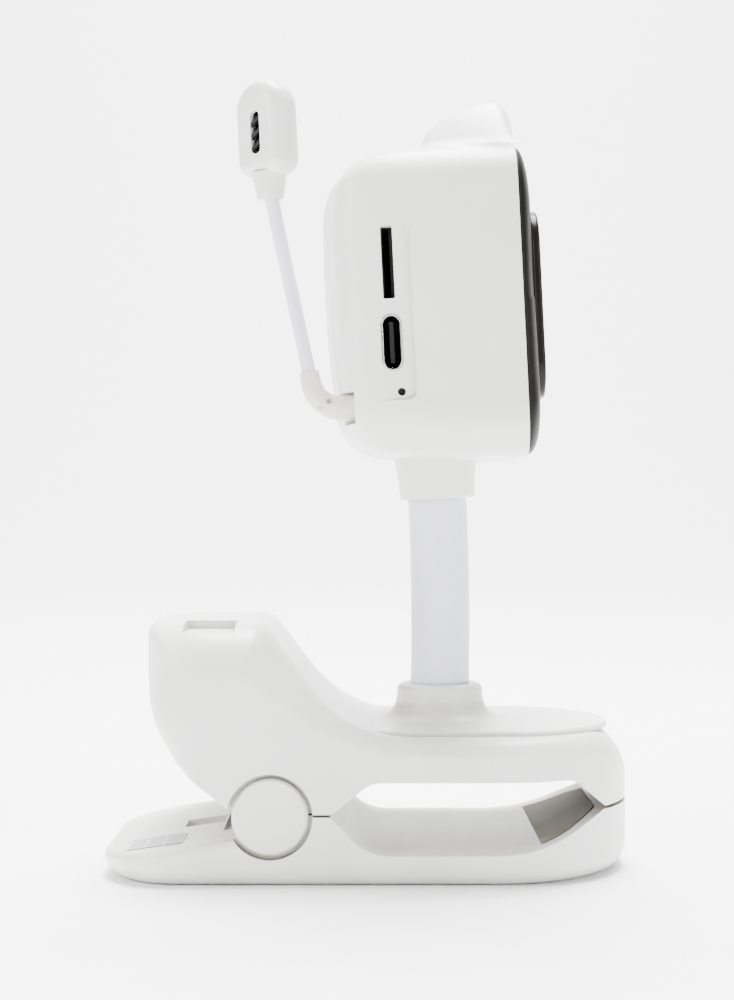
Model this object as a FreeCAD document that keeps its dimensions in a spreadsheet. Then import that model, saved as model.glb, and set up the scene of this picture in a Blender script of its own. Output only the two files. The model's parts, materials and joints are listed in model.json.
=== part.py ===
import FreeCAD, Part
import Sketcher
import math
import os
import re

from FreeCAD import Placement, Rotation, Vector

# Clip-on baby monitor camera: a camera head on a short gooseneck, carried by a
# spring clamp that also serves as its stand.  Millimetres, +Z up, +X is the way
# the lens looks, -Y is the side with the ports.  The origin is on the resting
# surface, under the middle of the clamp.

os.makedirs("parts", exist_ok=True)
doc = FreeCAD.newDocument("baby_monitor_camera")
sheet = doc.addObject("Spreadsheet::Sheet", "sizes")

SIZES = (
    # clamp
    ("tip_x", 44.7),
    ("lever_x", -44.7),
    ("hump_x", -37.6),
    ("clamp_half", 23.5),
    ("parting", 11.6),
    ("jaw_gap", 0.3),
    ("mouth_floor", 5.3),
    ("mouth_roof", 17.2),
    ("jaw_top", 24.2),
    ("hump_top", 42.7),
    ("lever_end_top", 4.6),
    ("lever_top", 8.0),
    ("lever_step", -21.3),
    ("lever_corner", 13.0),
    ("lever_slot", 7.0),
    ("wall", 2.0),
    ("base_edge", 4.5),
    ("plate_thick", 1.4),
    ("top_edge", 5.0),
    # hinge
    ("pivot_x", -16.1),
    ("pivot_z", 11.6),
    ("knuckle_radius", 5.4),
    ("knuckle_inner", 12.2),
    ("knuckle_outer", 21.4),
    ("hinge_play", 0.35),
    ("pin_radius", 1.5),
    ("pin_bore", 1.55),
    ("cap_radius", 6.25),
    ("cap_recess", 7.0),
    ("cap_outer", 23.2),
    ("cap_inner", 21.5),
    ("spring_radius", 3.2),
    ("spring_wire", 0.5),
    ("spring_half", 4.2),
    ("label_x", -40.2),
    ("label_long", 9.6),
    ("label_wide", 9.0),
    # pads
    ("pad_start", 28.5),
    ("pad_thick", 1.0),
    ("pad_inset", 4.0),
    ("pad_proud", 0.15),
    # neck mount and gooseneck
    ("neck_x", 12.5),
    ("island_top", 25.1),
    ("boss_radius", 7.3),
    ("boss_top", 31.3),
    ("sleeve_radius", 5.1),
    ("sleeve_bore", 3.6),
    ("link_radius", 3.2),
    ("joint_first", 4.2),
    ("joint_pitch", 8.0),
    ("sleeve_gap", 1.0),
    ("neck_length", 32.3),
    # head
    ("head_x", 12.1),
    ("head_z", 63.4),
    ("head_tilt", 2.8),
    ("head_half", 28.0),
    ("head_front", 14.3),
    ("head_rear", -18.2),
    ("head_bottom", 5.6),
    ("head_top", 58.0),
    ("head_corner", 9.0),
    ("head_wall", 1.8),
    ("head_mid", 31.6),
    ("collar_radius", 6.5),
    ("ear_y", 15.5),
    ("panel_thick", 2.4),
    ("panel_round", 2.0),
    ("visor_half", 20.0),
    ("visor_high", 31.2),
    ("visor_proud", 1.5),
    ("visor_corner", 6.0),
    ("lens_radius", 6.0),
    # ports
    ("port_u", -7.1),
    ("usb_w", 25.5),
    ("usb_width", 8.94),
    ("usb_thick", 3.2),
    ("usb_depth", 7.3),
    ("card_w", 38.4),
    ("card_slot", 11.6),
    ("card_slot_thick", 1.8),
    ("reset_u", -5.9),
    ("reset_w", 17.5),
    ("reset_hole", 0.65),
    ("pocket_floor", -26.7),
    # boards
    ("board_thick", 1.0),
    # sensor boom
    ("boom_y", -19.0),
    ("boom_root_u", -15.0),
    ("boom_root_w", 15.7),
    ("boom_bend", 5.0),
    ("boom_radius", 1.15),
    ("boom_low_u", -20.9),
    ("boom_low_w", 21.9),
    ("boom_high_u", -25.6),
    ("boom_high_w", 50.6),
    ("boom_gap", 0.45),
    ("probe_width", 10.4),
    ("probe_depth", 6.0),
    ("probe_high", 15.9),
    ("probe_neck", 3.8),
    ("probe_turn", -40.0),
)

for row, (alias, value) in enumerate(SIZES, start=1):
    sheet.set(f"A{row}", alias)
    sheet.set(f"B{row}", str(value))
    sheet.setAlias(f"B{row}", alias)
doc.recompute()


def size(alias):
    """The number that the sheet holds under an alias."""
    return float(getattr(sheet, alias))


def linked(text):
    """An expression in which each alias is looked up in the sheet."""
    return re.sub(r"[a-z][a-z_]+", r"sizes.\g<0>", text)


def bind(thing, **expressions):
    """Drives properties of an object from the sheet."""
    for name, text in expressions.items():
        thing.setExpression(name, linked(text))
    return thing


# ---------------------------------------------------------------- placements

PIVOT = Vector(size("pivot_x"), 0, size("pivot_z"))
HEAD = Placement(
    Vector(size("head_x"), 0, size("head_z")),
    Rotation(Vector(0, 1, 0), -size("head_tilt")),
)
WORLD = Placement()
ALONG_Y = Rotation(Vector(1, 0, 0), -90)
ALONG_X = Rotation(Vector(0, 1, 0), 90)
AGAINST_Y = Rotation(Vector(1, 0, 0), 90)

sub_parts = {}


def keep(label, thing):
    """Registers a finished sub-part under the name of its file."""
    thing.Label = label
    sub_parts[label] = thing
    return thing


def spot(x, y, z, turn=None):
    return Placement(Vector(x, y, z), turn or Rotation())


# ----------------------------------------------------------- primitive pieces


def box(name, length, width, height, place):
    """A block whose three sizes are expressions on the sheet."""
    block = doc.addObject("Part::Box", name)
    bind(block, Length=length, Width=width, Height=height)
    block.Placement = place
    return block


def cylinder(name, radius, height, place):
    rod = doc.addObject("Part::Cylinder", name)
    bind(rod, Radius=radius, Height=height)
    rod.Placement = place
    return rod


def cut(name, base, tool):
    result = doc.addObject("Part::Cut", name)
    result.Base = base
    result.Tool = tool
    return result


def ring(name, outer, inner, height, place):
    """A plain tube, its bore running right through."""
    outside = cylinder(name + "_outside", outer, height, place)
    bore = cylinder(name + "_bore", inner, height + " + 2", place)
    bore.Placement = place.multiply(spot(0, 0, -1))
    return cut(name, outside, bore)


def own(name, shape, place=None):
    """A sub-part with a shape of its own; its place is set after its shape."""
    feature = doc.addObject("Part::Feature", name)
    feature.Shape = shape
    if place:
        feature.Placement = place
    return feature


def turned_body(name, outline, place):
    """A body of revolution about its own Z axis.

    The outline is a closed chain of (radius, height) expressions.
    """
    body = doc.addObject("PartDesign::Body", name)
    origin = {item.Role: item for item in body.Origin.OriginFeatures}
    sketch = body.newObject("Sketcher::SketchObject", name + "_profile")
    sketch.AttachmentSupport = (origin["XZ_Plane"], [""])
    sketch.MapMode = "FlatFace"
    draw_chain(sketch, outline)
    solid = body.newObject("PartDesign::Revolution", name + "_turned")
    solid.Profile = sketch
    solid.ReferenceAxis = (sketch, ["V_Axis"])
    solid.Angle = 360.0
    body.Placement = place
    return body


def padded_body(name, outline, height, place):
    """A plate: a closed outline of (x, y) expressions raised along Z."""
    body = doc.addObject("PartDesign::Body", name)
    origin = {item.Role: item for item in body.Origin.OriginFeatures}
    sketch = body.newObject("Sketcher::SketchObject", name + "_outline")
    sketch.AttachmentSupport = (origin["XY_Plane"], [""])
    sketch.MapMode = "FlatFace"
    draw_chain(sketch, outline)
    plate = body.newObject("PartDesign::Pad", name + "_plate")
    plate.Profile = sketch
    bind(plate, Length=height)
    body.Placement = place
    return body


def draw_chain(sketch, outline):
    """Draws a closed chain of lines, each corner placed by the sheet."""
    count = len(outline)
    start = [
        Vector(20 + 5 * math.cos(2 * math.pi * i / count), 5 * math.sin(2 * math.pi * i / count), 0)
        for i in range(count)
    ]
    for i in range(count):
        sketch.addGeometry(Part.LineSegment(start[i], start[(i + 1) % count]), False)
    for i in range(count):
        sketch.addConstraint(Sketcher.Constraint("Coincident", i, 2, (i + 1) % count, 1))
    for i, (across, along) in enumerate(outline):
        for kind, text, axis in (("DistanceX", across, -2), ("DistanceY", along, -1)):
            if text == "0":
                sketch.addConstraint(Sketcher.Constraint("PointOnObject", i, 1, axis))
                continue
            value = start[i].x if kind == "DistanceX" else start[i].y
            index = sketch.addConstraint(Sketcher.Constraint(kind, -1, 1, i, 1, value))
            sketch.setExpression(f"Constraints[{index}]", linked(text))


# ----------------------------------------------------- outlines for own shapes


def rounded_wire(corners, lift):
    """A closed wire through corners (a, b, radius), lifted into space."""
    edges = []
    ends = []
    count = len(corners)
    for i in range(count):
        here = Vector(corners[i][0], corners[i][1], 0)
        back = Vector(corners[i - 1][0], corners[i - 1][1], 0) - here
        ahead = Vector(corners[(i + 1) % count][0], corners[(i + 1) % count][1], 0) - here
        back.normalize()
        ahead.normalize()
        radius = corners[i][2]
        if radius == 0:
            ends.append((here, None, here))
            continue
        half = back.getAngle(ahead) / 2
        reach = radius / math.tan(half)
        middle = back + ahead
        middle.normalize()
        bulge = here + middle * (radius / math.sin(half) - radius)
        ends.append((here + back * reach, bulge, here + ahead * reach))
    for i in range(count):
        entry, bulge, leave = ends[i]
        if bulge is not None:
            arc = Part.Arc(lift(entry.x, entry.y), lift(bulge.x, bulge.y), lift(leave.x, leave.y))
            edges.append(arc.toShape())
        following = ends[(i + 1) % count][0]
        if (following - leave).Length > 1e-6:
            edges.append(Part.makeLine(lift(leave.x, leave.y), lift(following.x, following.y)))
    return Part.Wire(edges)


def prism_y(corners, low, high):
    """A rounded outline in the XZ plane, spread across Y."""
    wire = rounded_wire(corners, lambda a, b: Vector(a, low, b))
    return Part.Face(wire).extrude(Vector(0, high - low, 0))


def prism_z(corners, low, high):
    """A rounded outline in the XY plane, raised along Z."""
    wire = rounded_wire(corners, lambda a, b: Vector(a, b, low))
    return Part.Face(wire).extrude(Vector(0, 0, high - low))


def prism_x(corners, low, high):
    """A rounded outline in the YZ plane, spread along X."""
    wire = rounded_wire(corners, lambda a, b: Vector(low, a, b))
    return Part.Face(wire).extrude(Vector(high - low, 0, 0))


def block(x0, x1, y0, y1, z0, z1):
    return Part.makeBox(x1 - x0, y1 - y0, z1 - z0, Vector(x0, y0, z0))


def rod(radius, start, end):
    return Part.makeCylinder(radius, (end - start).Length, start, end - start)


def round_edges(shape, radii, wanted):
    """Rounds the wanted edges, with the largest of the radii that works."""
    edges = [edge for edge in shape.Edges if wanted(edge)]
    for radius in radii:
        try:
            result = shape.makeFillet(radius, edges)
        except Exception:
            continue
        if result.isValid() and result.Solids and result.Volume > 0:
            return result
    print("edges left sharp:", len(edges))
    return shape


# --------------------------------------------------------------- clamp shapes

HALF = size("clamp_half")
TIP = size("tip_x")
LEVER = size("lever_x")
PART = size("parting")
FLOOR = size("mouth_floor")
ROOF = size("mouth_roof")


BASE_SCREWS = [(x, y) for x in (-33.5, 26.0) for y in (-12.0, 12.0)]
LINER_SCREWS = [(x, y) for x in (4.5, 25.0) for y in (-14.0, 14.0)]


def plate_corners(grow):
    """The base plate's outline, a rectangle with its corners cut off."""
    side = grow * 0.41
    near = [
        (-38.5 - grow, -8.5 - side),
        (-29.5 - side, -17.5 - grow),
        (24.0 + side, -17.5 - grow),
        (34.0 + grow, -11.0 - side),
    ]
    return near + [(x, -y) for x, y in reversed(near)]


def clamp_plan(left, corner, inset=0.0):
    """The clamp from above: squarish at the lever, a half circle at the tip."""
    half = HALF - inset
    tip = TIP - inset
    back = left + inset
    nose = half * 0.98
    return [
        (back, -half, corner),
        (tip, -half, nose),
        (tip, half, nose),
        (back, half, corner),
    ]


def mouth(gap, lower):
    """The inside outline of a jaw, from the hinge side to the tip."""
    if lower:
        return [(-6.2, PART - gap, 1.0), (-0.5, FLOOR, 9.0), (28.0, FLOOR, 26.0), (39.2, PART - gap, 0.6)]
    return [(-6.2, PART + gap, 1.0), (0.4, ROOF, 5.0), (33.8, ROOF, 3.5), (39.8, PART + gap, 0.6)]


def mouth_tool(lower, shift=0.0):
    """The open mouth as a solid, moved up or down by a shift."""
    if lower:
        line = [(-6.21, 40, 0), (-6.2, PART, 0)] + mouth(0, True)[1:3] + [(39.2, PART, 0), (39.2, 40, 0)]
    else:
        line = [(-6.2, PART - 9, 0), (-6.2, PART, 0)] + mouth(0, False)[1:3]
        line += [(39.8, PART, 0), (39.8, PART - 9, 0)]
    tool = prism_y(line, -60, 60)
    tool.translate(Vector(0, 0, shift))
    return tool


def pad_room(lower, play=0.0):
    """The band behind the tip's gripping face that holds a rubber pad."""
    deep = -size("pad_thick") if lower else size("pad_thick")
    reach = size("pad_start") + play
    inside = prism_z(clamp_plan(-10, 1.0, size("pad_inset") + play), -5, 40)
    span = block(reach, 38.6 - play, -60, 60, -5, PART - 0.4 if lower else 40)
    if not lower:
        span = block(reach, 38.6 - play, -60, 60, PART + 0.7, 40)
    return mouth_tool(lower, deep).common(inside).common(span)


def pad_shape(lower):
    """A rubber pad, standing a little proud of the jaw round it."""
    proud = size("pad_proud") if lower else -size("pad_proud")
    return pad_room(lower, 0.05).cut(mouth_tool(lower, proud))


def lower_jaw_shape():
    """Stand, lower jaw and finger lever in one shell, open underneath."""
    outer = prism_z(clamp_plan(LEVER, size("lever_corner")), 0, PART)
    outer = round_edges(
        outer,
        (size("base_edge"), 3.0),
        lambda e: e.BoundBox.ZMax < 0.01,
    )
    above = prism_y(
        [
            (LEVER, 40, 0),
            (LEVER, size("lever_end_top"), 0),
            (size("lever_step"), size("lever_top"), 1.0),
            (size("lever_step") + 0.3, PART, 0),
            (size("lever_step") + 0.3, 40, 0),
        ],
        -60,
        60,
    )
    outer = outer.cut(above)
    outer = outer.cut(mouth_tool(True))
    outer = round_edges(
        outer,
        (1.2, 0.6),
        lambda e: e.BoundBox.ZMin > 4.0 and e.BoundBox.XMax < -22.0 and e.BoundBox.YLength > 0.5 or (
            e.BoundBox.ZMin > 4.0 and e.BoundBox.XMax < -22.0 and e.BoundBox.XLength > 3
        ),
    )
    pivot = Vector(size("pivot_x"), 0, size("pivot_z"))
    # hinge well: room for the knuckles of the upper jaw and for the spring
    reach = size("knuckle_radius") + size("hinge_play")
    well = rod(reach, pivot - Vector(0, HALF + 1, 0), pivot + Vector(0, HALF + 1, 0))
    mid = size("knuckle_inner")
    well = well.common(block(-60, 60, -mid, mid, -5, 40))
    well = well.fuse(block(-24.5, -16.1, -mid, mid, pivot.z - reach, 40))
    outer = outer.cut(well)
    for side in (-1, 1):
        near = Vector(pivot.x, side * mid, pivot.z)
        far = Vector(pivot.x, side * size("knuckle_outer"), pivot.z)
        outer = outer.fuse(rod(size("knuckle_radius"), near, far))
        recess = rod(
            size("cap_recess"),
            Vector(pivot.x, side * size("knuckle_outer"), pivot.z),
            Vector(pivot.x, side * (HALF + 1), pivot.z),
        )
        outer = outer.cut(recess)
    outer = outer.cut(
        rod(size("pin_bore"), pivot - Vector(0, HALF, 0), pivot + Vector(0, HALF, 0))
    )
    # hollow under the jaw, and the ledge that the base plate sits on
    wall = size("wall")
    hollow = block(-1.5, 31.0, -HALF + 5.5, HALF - 5.5, -1, FLOOR - wall)
    lever_hollow = block(-37.5, -24.0, -HALF + 6.5, HALF - 6.5, -1, FLOOR - wall)
    ledge = prism_z([(x, y, 0) for x, y in plate_corners(0.3)], -1, 1.5)
    half_slot = size("lever_slot") / 2
    slot = block(-31.8, -31.8 + 2 * half_slot, -half_slot, half_slot, FLOOR - wall - 0.5, 20)
    outer = outer.cut(hollow.fuse(lever_hollow)).cut(ledge).cut(slot)
    for x, y in BASE_SCREWS:
        post = rod(2.2, Vector(x, y, 1.5), Vector(x, y, FLOOR - wall + 0.2))
        outer = outer.fuse(post).cut(rod(0.85, Vector(x, y, 0), Vector(x, y, 3.1)))
    return outer.cut(pad_room(True)).removeSplitter()


def upper_jaw_shape():
    """Upper jaw and the tall hollow handle above the lever."""
    gap = size("jaw_gap")
    top = size("jaw_top")
    hump = size("hump_top")
    left = size("hump_x")
    plan = prism_z(clamp_plan(left, 13.0), PART - 8, hump + 5)
    lid = mouth(gap, False)
    side = [
        (TIP, PART + gap, 0),
        (TIP, top, 8.0),
        (-3.6, top, 21.0),
        (-17.4, hump, 3.0),
        (left, hump, 3.5),
        (left, 24.0, 25.0),
        (-22.4, 12.4, 0.8),
        (-21.0, PART + gap, 0),
    ] + lid
    solid = plan.common(prism_y(side, -60, 60))

    solid = round_edges(solid, (size("top_edge"), 4.0, 3.0, 2.0), lambda e: top_rim(e, solid))
    pivot = Vector(size("pivot_x"), 0, size("pivot_z"))
    reach = size("knuckle_radius") + size("hinge_play")
    mid = size("knuckle_inner")
    for side_sign in (-1, 1):
        inner = Vector(pivot.x, side_sign * (mid - 0.2), pivot.z)
        outer = Vector(pivot.x, side_sign * (HALF + 1), pivot.z)
        solid = solid.cut(rod(reach, inner, outer))
        recess = rod(
            size("cap_recess"),
            Vector(pivot.x, side_sign * (size("knuckle_outer") - 0.3), pivot.z),
            outer,
        )
        solid = solid.cut(recess)
        knuckle = rod(
            size("knuckle_radius"),
            Vector(pivot.x, side_sign * (size("spring_half") + 0.8), pivot.z),
            Vector(pivot.x, side_sign * (mid - 0.3), pivot.z),
        )
        solid = solid.fuse(knuckle)
    spring_room = rod(
        reach,
        Vector(pivot.x, -size("spring_half") - 0.8, pivot.z),
        Vector(pivot.x, size("spring_half") + 0.8, pivot.z),
    )
    solid = solid.cut(spring_room)
    solid = solid.cut(rod(size("pin_bore"), pivot - Vector(0, 30, 0), pivot + Vector(0, 30, 0)))
    # hollows of the handle and of the jaw
    wall = size("wall")
    handle = prism_y(
        [
            (-34.0, 39.0, 4),
            (-19.0, 39.0, 4),
            (-11.0, 28.0, 3),
            (-11.0, 20.0, 1),
            (-25.0, 20.0, 1),
            (-34.0, 29.0, 4),
        ],
        -HALF + 6.0,
        HALF - 6.0,
    )
    roof_hollow = block(2.0, 33.0, -HALF + 6, HALF - 6, ROOF - 0.5, top - wall - 0.4)
    ledge = block(0.5, 34.0, -HALF + 4.5, HALF - 4.5, ROOF - 0.5, ROOF + 1.5)
    solid = solid.cut(handle).cut(roof_hollow).cut(ledge)
    for x, y in LINER_SCREWS:
        post = rod(2.0, Vector(x, y, ROOF + 1.5), Vector(x, y, top - 1.0))
        solid = solid.fuse(post).cut(rod(0.8, Vector(x, y, ROOF), Vector(x, y, ROOF + 3.6)))
    neck = size("neck_x")
    solid = solid.cut(rod(size("sleeve_radius") + 1.2, Vector(neck, 0, 15), Vector(neck, 0, 40)))
    # shallow finger notch in the near shoulder of the handle
    solid = solid.cut(block(-30.8, -22.1, -HALF - 1, -7.0, hump - 1.15, hump + 1))
    return solid.cut(pad_room(False)).removeSplitter()


def top_rim(edge, solid):
    """Edges where the outer side wall meets the top faces."""
    faces = solid.ancestorsOfType(edge, Part.Face)
    if len(faces) != 2:
        return False
    point = edge.valueAt((edge.FirstParameter + edge.LastParameter) / 2)
    if point.z < 20 or abs(point.y) < 0.5 and point.x < TIP - 3:
        return False
    normals = []
    for face in faces:
        where = face.Surface.parameter(point)
        normals.append(face.normalAt(*where))
    if normals[0].getAngle(normals[1]) < 0.3:
        return False
    upward = max(normal.z for normal in normals)
    level = min(abs(normal.z) for normal in normals)
    return upward > 0.2 and level < 0.15


# ------------------------------------------------------------- clamp sub-parts


def build_lower_jaw():
    keep("lower_jaw", own("lower_jaw", lower_jaw_shape()))
    outline = [(f"{x:.3f}", f"{y:.3f}") for x, y in plate_corners(0.0)]
    plate = padded_body("base_plate", outline, "plate_thick", WORLD)
    sinks = [Part.makeCone(1.75, 0.95, 1.4, Vector(x, y, 0)) for x, y in BASE_SCREWS]
    holes = own("base_plate_holes", Part.makeCompound(sinks))
    keep("base_plate", cut("base_plate_drilled", plate, holes))
    screws = [sunk_screw(Vector(x, y, 0.1), 0.75, 3.0) for x, y in BASE_SCREWS]
    keep("base_screws", own("base_screws", Part.makeCompound(screws)))
    pin_reach = "cap_inner - 0.1"
    pin = cylinder("hinge_pin", "pin_radius", "2 * (" + pin_reach + ")", WORLD)
    pin.Placement = Placement(PIVOT - Vector(0, size("cap_inner") - 0.1, 0), ALONG_Y)
    keep("hinge_pin", pin)
    cap_outline = [
        ("0", "0"),
        ("cap_radius", "0"),
        ("cap_radius", "cap_outer - cap_inner - 0.4"),
        ("cap_radius - 0.4", "cap_outer - cap_inner"),
        ("0", "cap_outer - cap_inner"),
    ]
    for name, turn, side in (("pivot_cap_near", AGAINST_Y, -1), ("pivot_cap_far", ALONG_Y, 1)):
        place = Placement(PIVOT + Vector(0, side * size("cap_inner"), 0), turn)
        keep(name, turned_body(name, cap_outline, place))
    keep("torsion_spring", own("torsion_spring", spring_shape()))
    rise = (size("lever_top") - size("lever_end_top")) / (size("lever_step") - LEVER)
    slope = math.degrees(math.atan(rise))
    start = size("label_x")
    foot = size("lever_end_top") + (start - LEVER) * rise + 0.02
    label_place = spot(start, -18.8, foot, Rotation(Vector(0, 1, 0), -slope))
    keep("blank_label", box("blank_label", "label_long", "label_wide", "0.12", label_place))


def sunk_screw(foot, radius, high):
    """A countersunk screw seen from below, its flat head at the foot."""
    head = Part.makeCone(radius + 0.75, radius, 1.0, foot)
    shank = rod(radius, foot, foot + Vector(0, 0, high))
    slot = block(foot.x - 1.2, foot.x + 1.2, foot.y - 0.15, foot.y + 0.15, foot.z - 1, foot.z + 0.35)
    return head.fuse(shank).cut(slot)


def spring_shape():
    """Torsion spring on the hinge pin, one leg lying along the lever."""
    wire = size("spring_wire")
    radius = size("spring_radius")
    half = size("spring_half")
    turns = 5.0
    pitch = 2 * (half - wire) / turns
    helix = Part.makeHelix(pitch, pitch * turns, radius)
    helix.Placement = Placement(PIVOT - Vector(0, half - wire, 0), ALONG_Y)
    start = helix.Edges[0].valueAt(helix.Edges[0].FirstParameter)
    heading = helix.Edges[0].tangentAt(helix.Edges[0].FirstParameter)
    section = Part.Wire(Part.makeCircle(wire, start, heading))
    coil = Part.Wire(helix.Edges).makePipeShell([section], True, True)
    return coil


def build_upper_jaw():
    jaw = upper_jaw_shape()
    keep("upper_jaw", own("upper_jaw", jaw))
    mount = max(neck_mount_shape().cut(jaw).Solids, key=lambda solid: solid.Volume)
    keep("neck_mount", own("neck_mount", mount))
    lid = block(0.6, 33.9, -HALF + 4.6, HALF - 4.6, ROOF - 0.05, ROOF + 1.4).cut(pad_room(False))
    for x, y in LINER_SCREWS:
        lid = lid.cut(Part.makeCone(1.75, 0.9, 1.46, Vector(x, y, ROOF - 0.05)))
    keep("jaw_liner", own("jaw_liner", lid))
    screws = [sunk_screw(Vector(x, y, ROOF + 0.1), 0.7, 3.2) for x, y in LINER_SCREWS]
    keep("liner_screws", own("liner_screws", Part.makeCompound(screws)))
    keep("upper_pad", own("upper_pad", pad_shape(False)))
    keep("lower_pad", own("lower_pad", pad_shape(True)))
    neck = size("neck_x")
    nut = turned_body(
        "neck_nut",
        [
            ("link_radius + 0.05", "0"),
            ("sleeve_radius + 0.9", "0"),
            ("sleeve_radius + 0.9", "2.8"),
            ("link_radius + 0.05", "2.8"),
        ],
        spot(neck, 0, ROOF + 1.7),
    )
    keep("neck_nut", nut)


def neck_mount_shape():
    """Raised top cover of the jaw with the boss that holds the gooseneck."""
    inset = 3.2
    half = HALF - inset - 1.5
    tip = TIP - inset
    top = size("jaw_top")
    high = size("island_top")
    neck = size("neck_x")
    plan = prism_z(
        [(-1.0, -half, 5.0), (tip, -half, half * 0.96), (tip, half, half * 0.96), (-1.0, half, 5.0)],
        top + 0.02,
        high,
    )
    plan = round_edges(plan, (0.7, 0.5), lambda e: e.BoundBox.ZMin > high - 0.01)
    radius = size("boss_radius")
    crown = size("boss_top")
    wire = rounded_wire(
        [
            (0, high - 0.6, 0),
            (radius + 5.0, high - 0.6, 0),
            (radius + 5.0, high - 0.02, 0),
            (radius + 0.6, high + 0.1, 4.0),
            (radius, crown, 1.2),
            (0, crown, 0),
        ],
        lambda a, b: Vector(a, 0, b),
    )
    face = Part.Face(wire)
    turned = face.revolve(Vector(0, 0, 0), Vector(0, 0, 1), 360)
    turned.translate(Vector(neck, 0, 0))
    spigot = rod(size("sleeve_radius") + 1.0, Vector(neck, 0, top - 2.4), Vector(neck, 0, high))
    whole = plan.fuse(turned).fuse(spigot)
    bore = rod(size("sleeve_radius") + 0.05, Vector(neck, 0, 0), Vector(neck, 0, 60))
    return whole.cut(bore).removeSplitter()


# ------------------------------------------------------------------ gooseneck


def neck_frame(distance):
    """Place on the neck's gently bowed centre line; local Z runs along it."""
    length = size("neck_length")
    lean_start = 1.2
    lean_end = -size("head_tilt")
    steps = 40
    x = size("neck_x")
    z = size("boss_top")
    for i in range(steps):
        share = (i + 0.5) * distance / steps / length
        lean = math.radians(lean_start + (lean_end - lean_start) * share)
        x += math.sin(lean) * distance / steps
        z += math.cos(lean) * distance / steps
    lean = lean_start + (lean_end - lean_start) * distance / length
    return Placement(Vector(x, 0, z), Rotation(Vector(0, 1, 0), lean))


def neck_joint(index):
    return size("joint_first") + index * size("joint_pitch")


def joint_axis(index):
    """Hinge directions of the gooseneck: across, then along, turn about."""
    return Vector(0, 1, 0) if index % 2 == 0 else Vector(1, 0, 0)


def slab(middle, axis, half, reach, low, high):
    """A block of half thickness along an axis, from low to high above a point."""
    across = Vector(half, reach, 0) if axis.x else Vector(reach, half, 0)
    corner = Vector(middle.x - across.x, middle.y - across.y, middle.z + low)
    return Part.makeBox(2 * across.x, 2 * across.y, high - low, corner)


def tongue(middle, axis):
    """The upper end of a link: a flat tongue with a rounded, bored end."""
    eye = rod(2.2, middle - axis * 1.2, middle + axis * 1.2)
    stem = slab(middle, axis, 1.2, 2.2, -2.8, 0)
    return eye.fuse(stem).cut(rod(0.8, middle - axis * 2, middle + axis * 2))


def fork(middle, axis):
    """The lower end of a link: two ears and the pin between them."""
    whole = rod(0.7, middle - axis * 2.7, middle + axis * 2.7)
    for side in (-1, 1):
        near = middle + axis * (side * 1.4)
        ear = rod(1.9, near, middle + axis * (side * 2.7))
        stem = slab(middle + axis * (side * 2.05), axis, 0.65, 1.9, 0, 2.9)
        whole = whole.fuse(ear).fuse(stem)
    return whole


def build_neck():
    """Five pinned links, each inside its run of the sleeve.

    Joint i sits between link i and link i + 1.
    """
    gap = size("sleeve_gap")
    last = 4
    for i in range(last + 1):
        low = neck_joint(i - 1) if i > 0 else -12.2
        high = neck_joint(i) if i < last else size("neck_length") + 5.0
        base = neck_frame(max(low, 0))
        if i == 0:
            base = spot(size("neck_x"), 0, size("boss_top") + low)
        run = high - low
        start = 0.0 if i == 0 else gap
        end = run if i == last else run - gap
        back = base.inverse()
        first = 2.7 if i > 0 else 0.0
        final = run - 2.6 if i < last else run
        link = rod(size("link_radius"), Vector(0, 0, first), Vector(0, 0, final))
        if i < last:
            above = back.multVec(neck_frame(high).Base)
            link = link.fuse(tongue(above, joint_axis(i)))
        if i > 0:
            link = link.fuse(fork(Vector(), joint_axis(i - 1)))
        keep(f"neck_link_{i + 1}", own(f"neck_link_{i + 1}", link.removeSplitter(), base))
        if i == 0:
            start = 6.0
        sleeve = ring(
            f"neck_sleeve_{i + 1}",
            "sleeve_radius",
            "sleeve_bore",
            f"{end - start:.3f}",
            spot(0, 0, start),
        )
        sleeve.Placement = base
        keep(f"neck_sleeve_{i + 1}", sleeve)


# ----------------------------------------------------------------- head shapes


def head_solid(inset, front):
    """The head as the meeting of its side, top and front outlines."""
    half = size("head_half") - inset
    rear = size("head_rear") + inset
    low = size("head_bottom") + inset
    high = size("head_top") - inset
    soft = 13.0 - inset
    side = prism_y(
        [
            (front, low, 0),
            (3.0, low + 0.1, 8.0),
            (rear + 1.5, low + 3.6, soft - 3.0),
            (rear, 38.0, 60.0),
            (rear + 0.7, high - 0.2, soft),
            (front, high, 0),
        ],
        -60,
        60,
    )
    plan = prism_z(
        [
            (front, -half, 0),
            (-1.0, -half, 40.0),
            (rear + 3.4, -half + 1.9, 3.4 - inset / 2),
            (rear - 1.8, 0, 80.0),
            (rear + 3.4, half - 1.9, 3.4 - inset / 2),
            (-1.0, half, 40.0),
            (front, half, 0),
        ],
        -10,
        80,
    )
    corner = size("head_corner") - inset
    face = prism_x(
        [(-half, low, corner), (half, low, corner), (half, high, corner), (-half, high, corner)],
        -60,
        60,
    )
    return side.common(plan).common(face)


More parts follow.
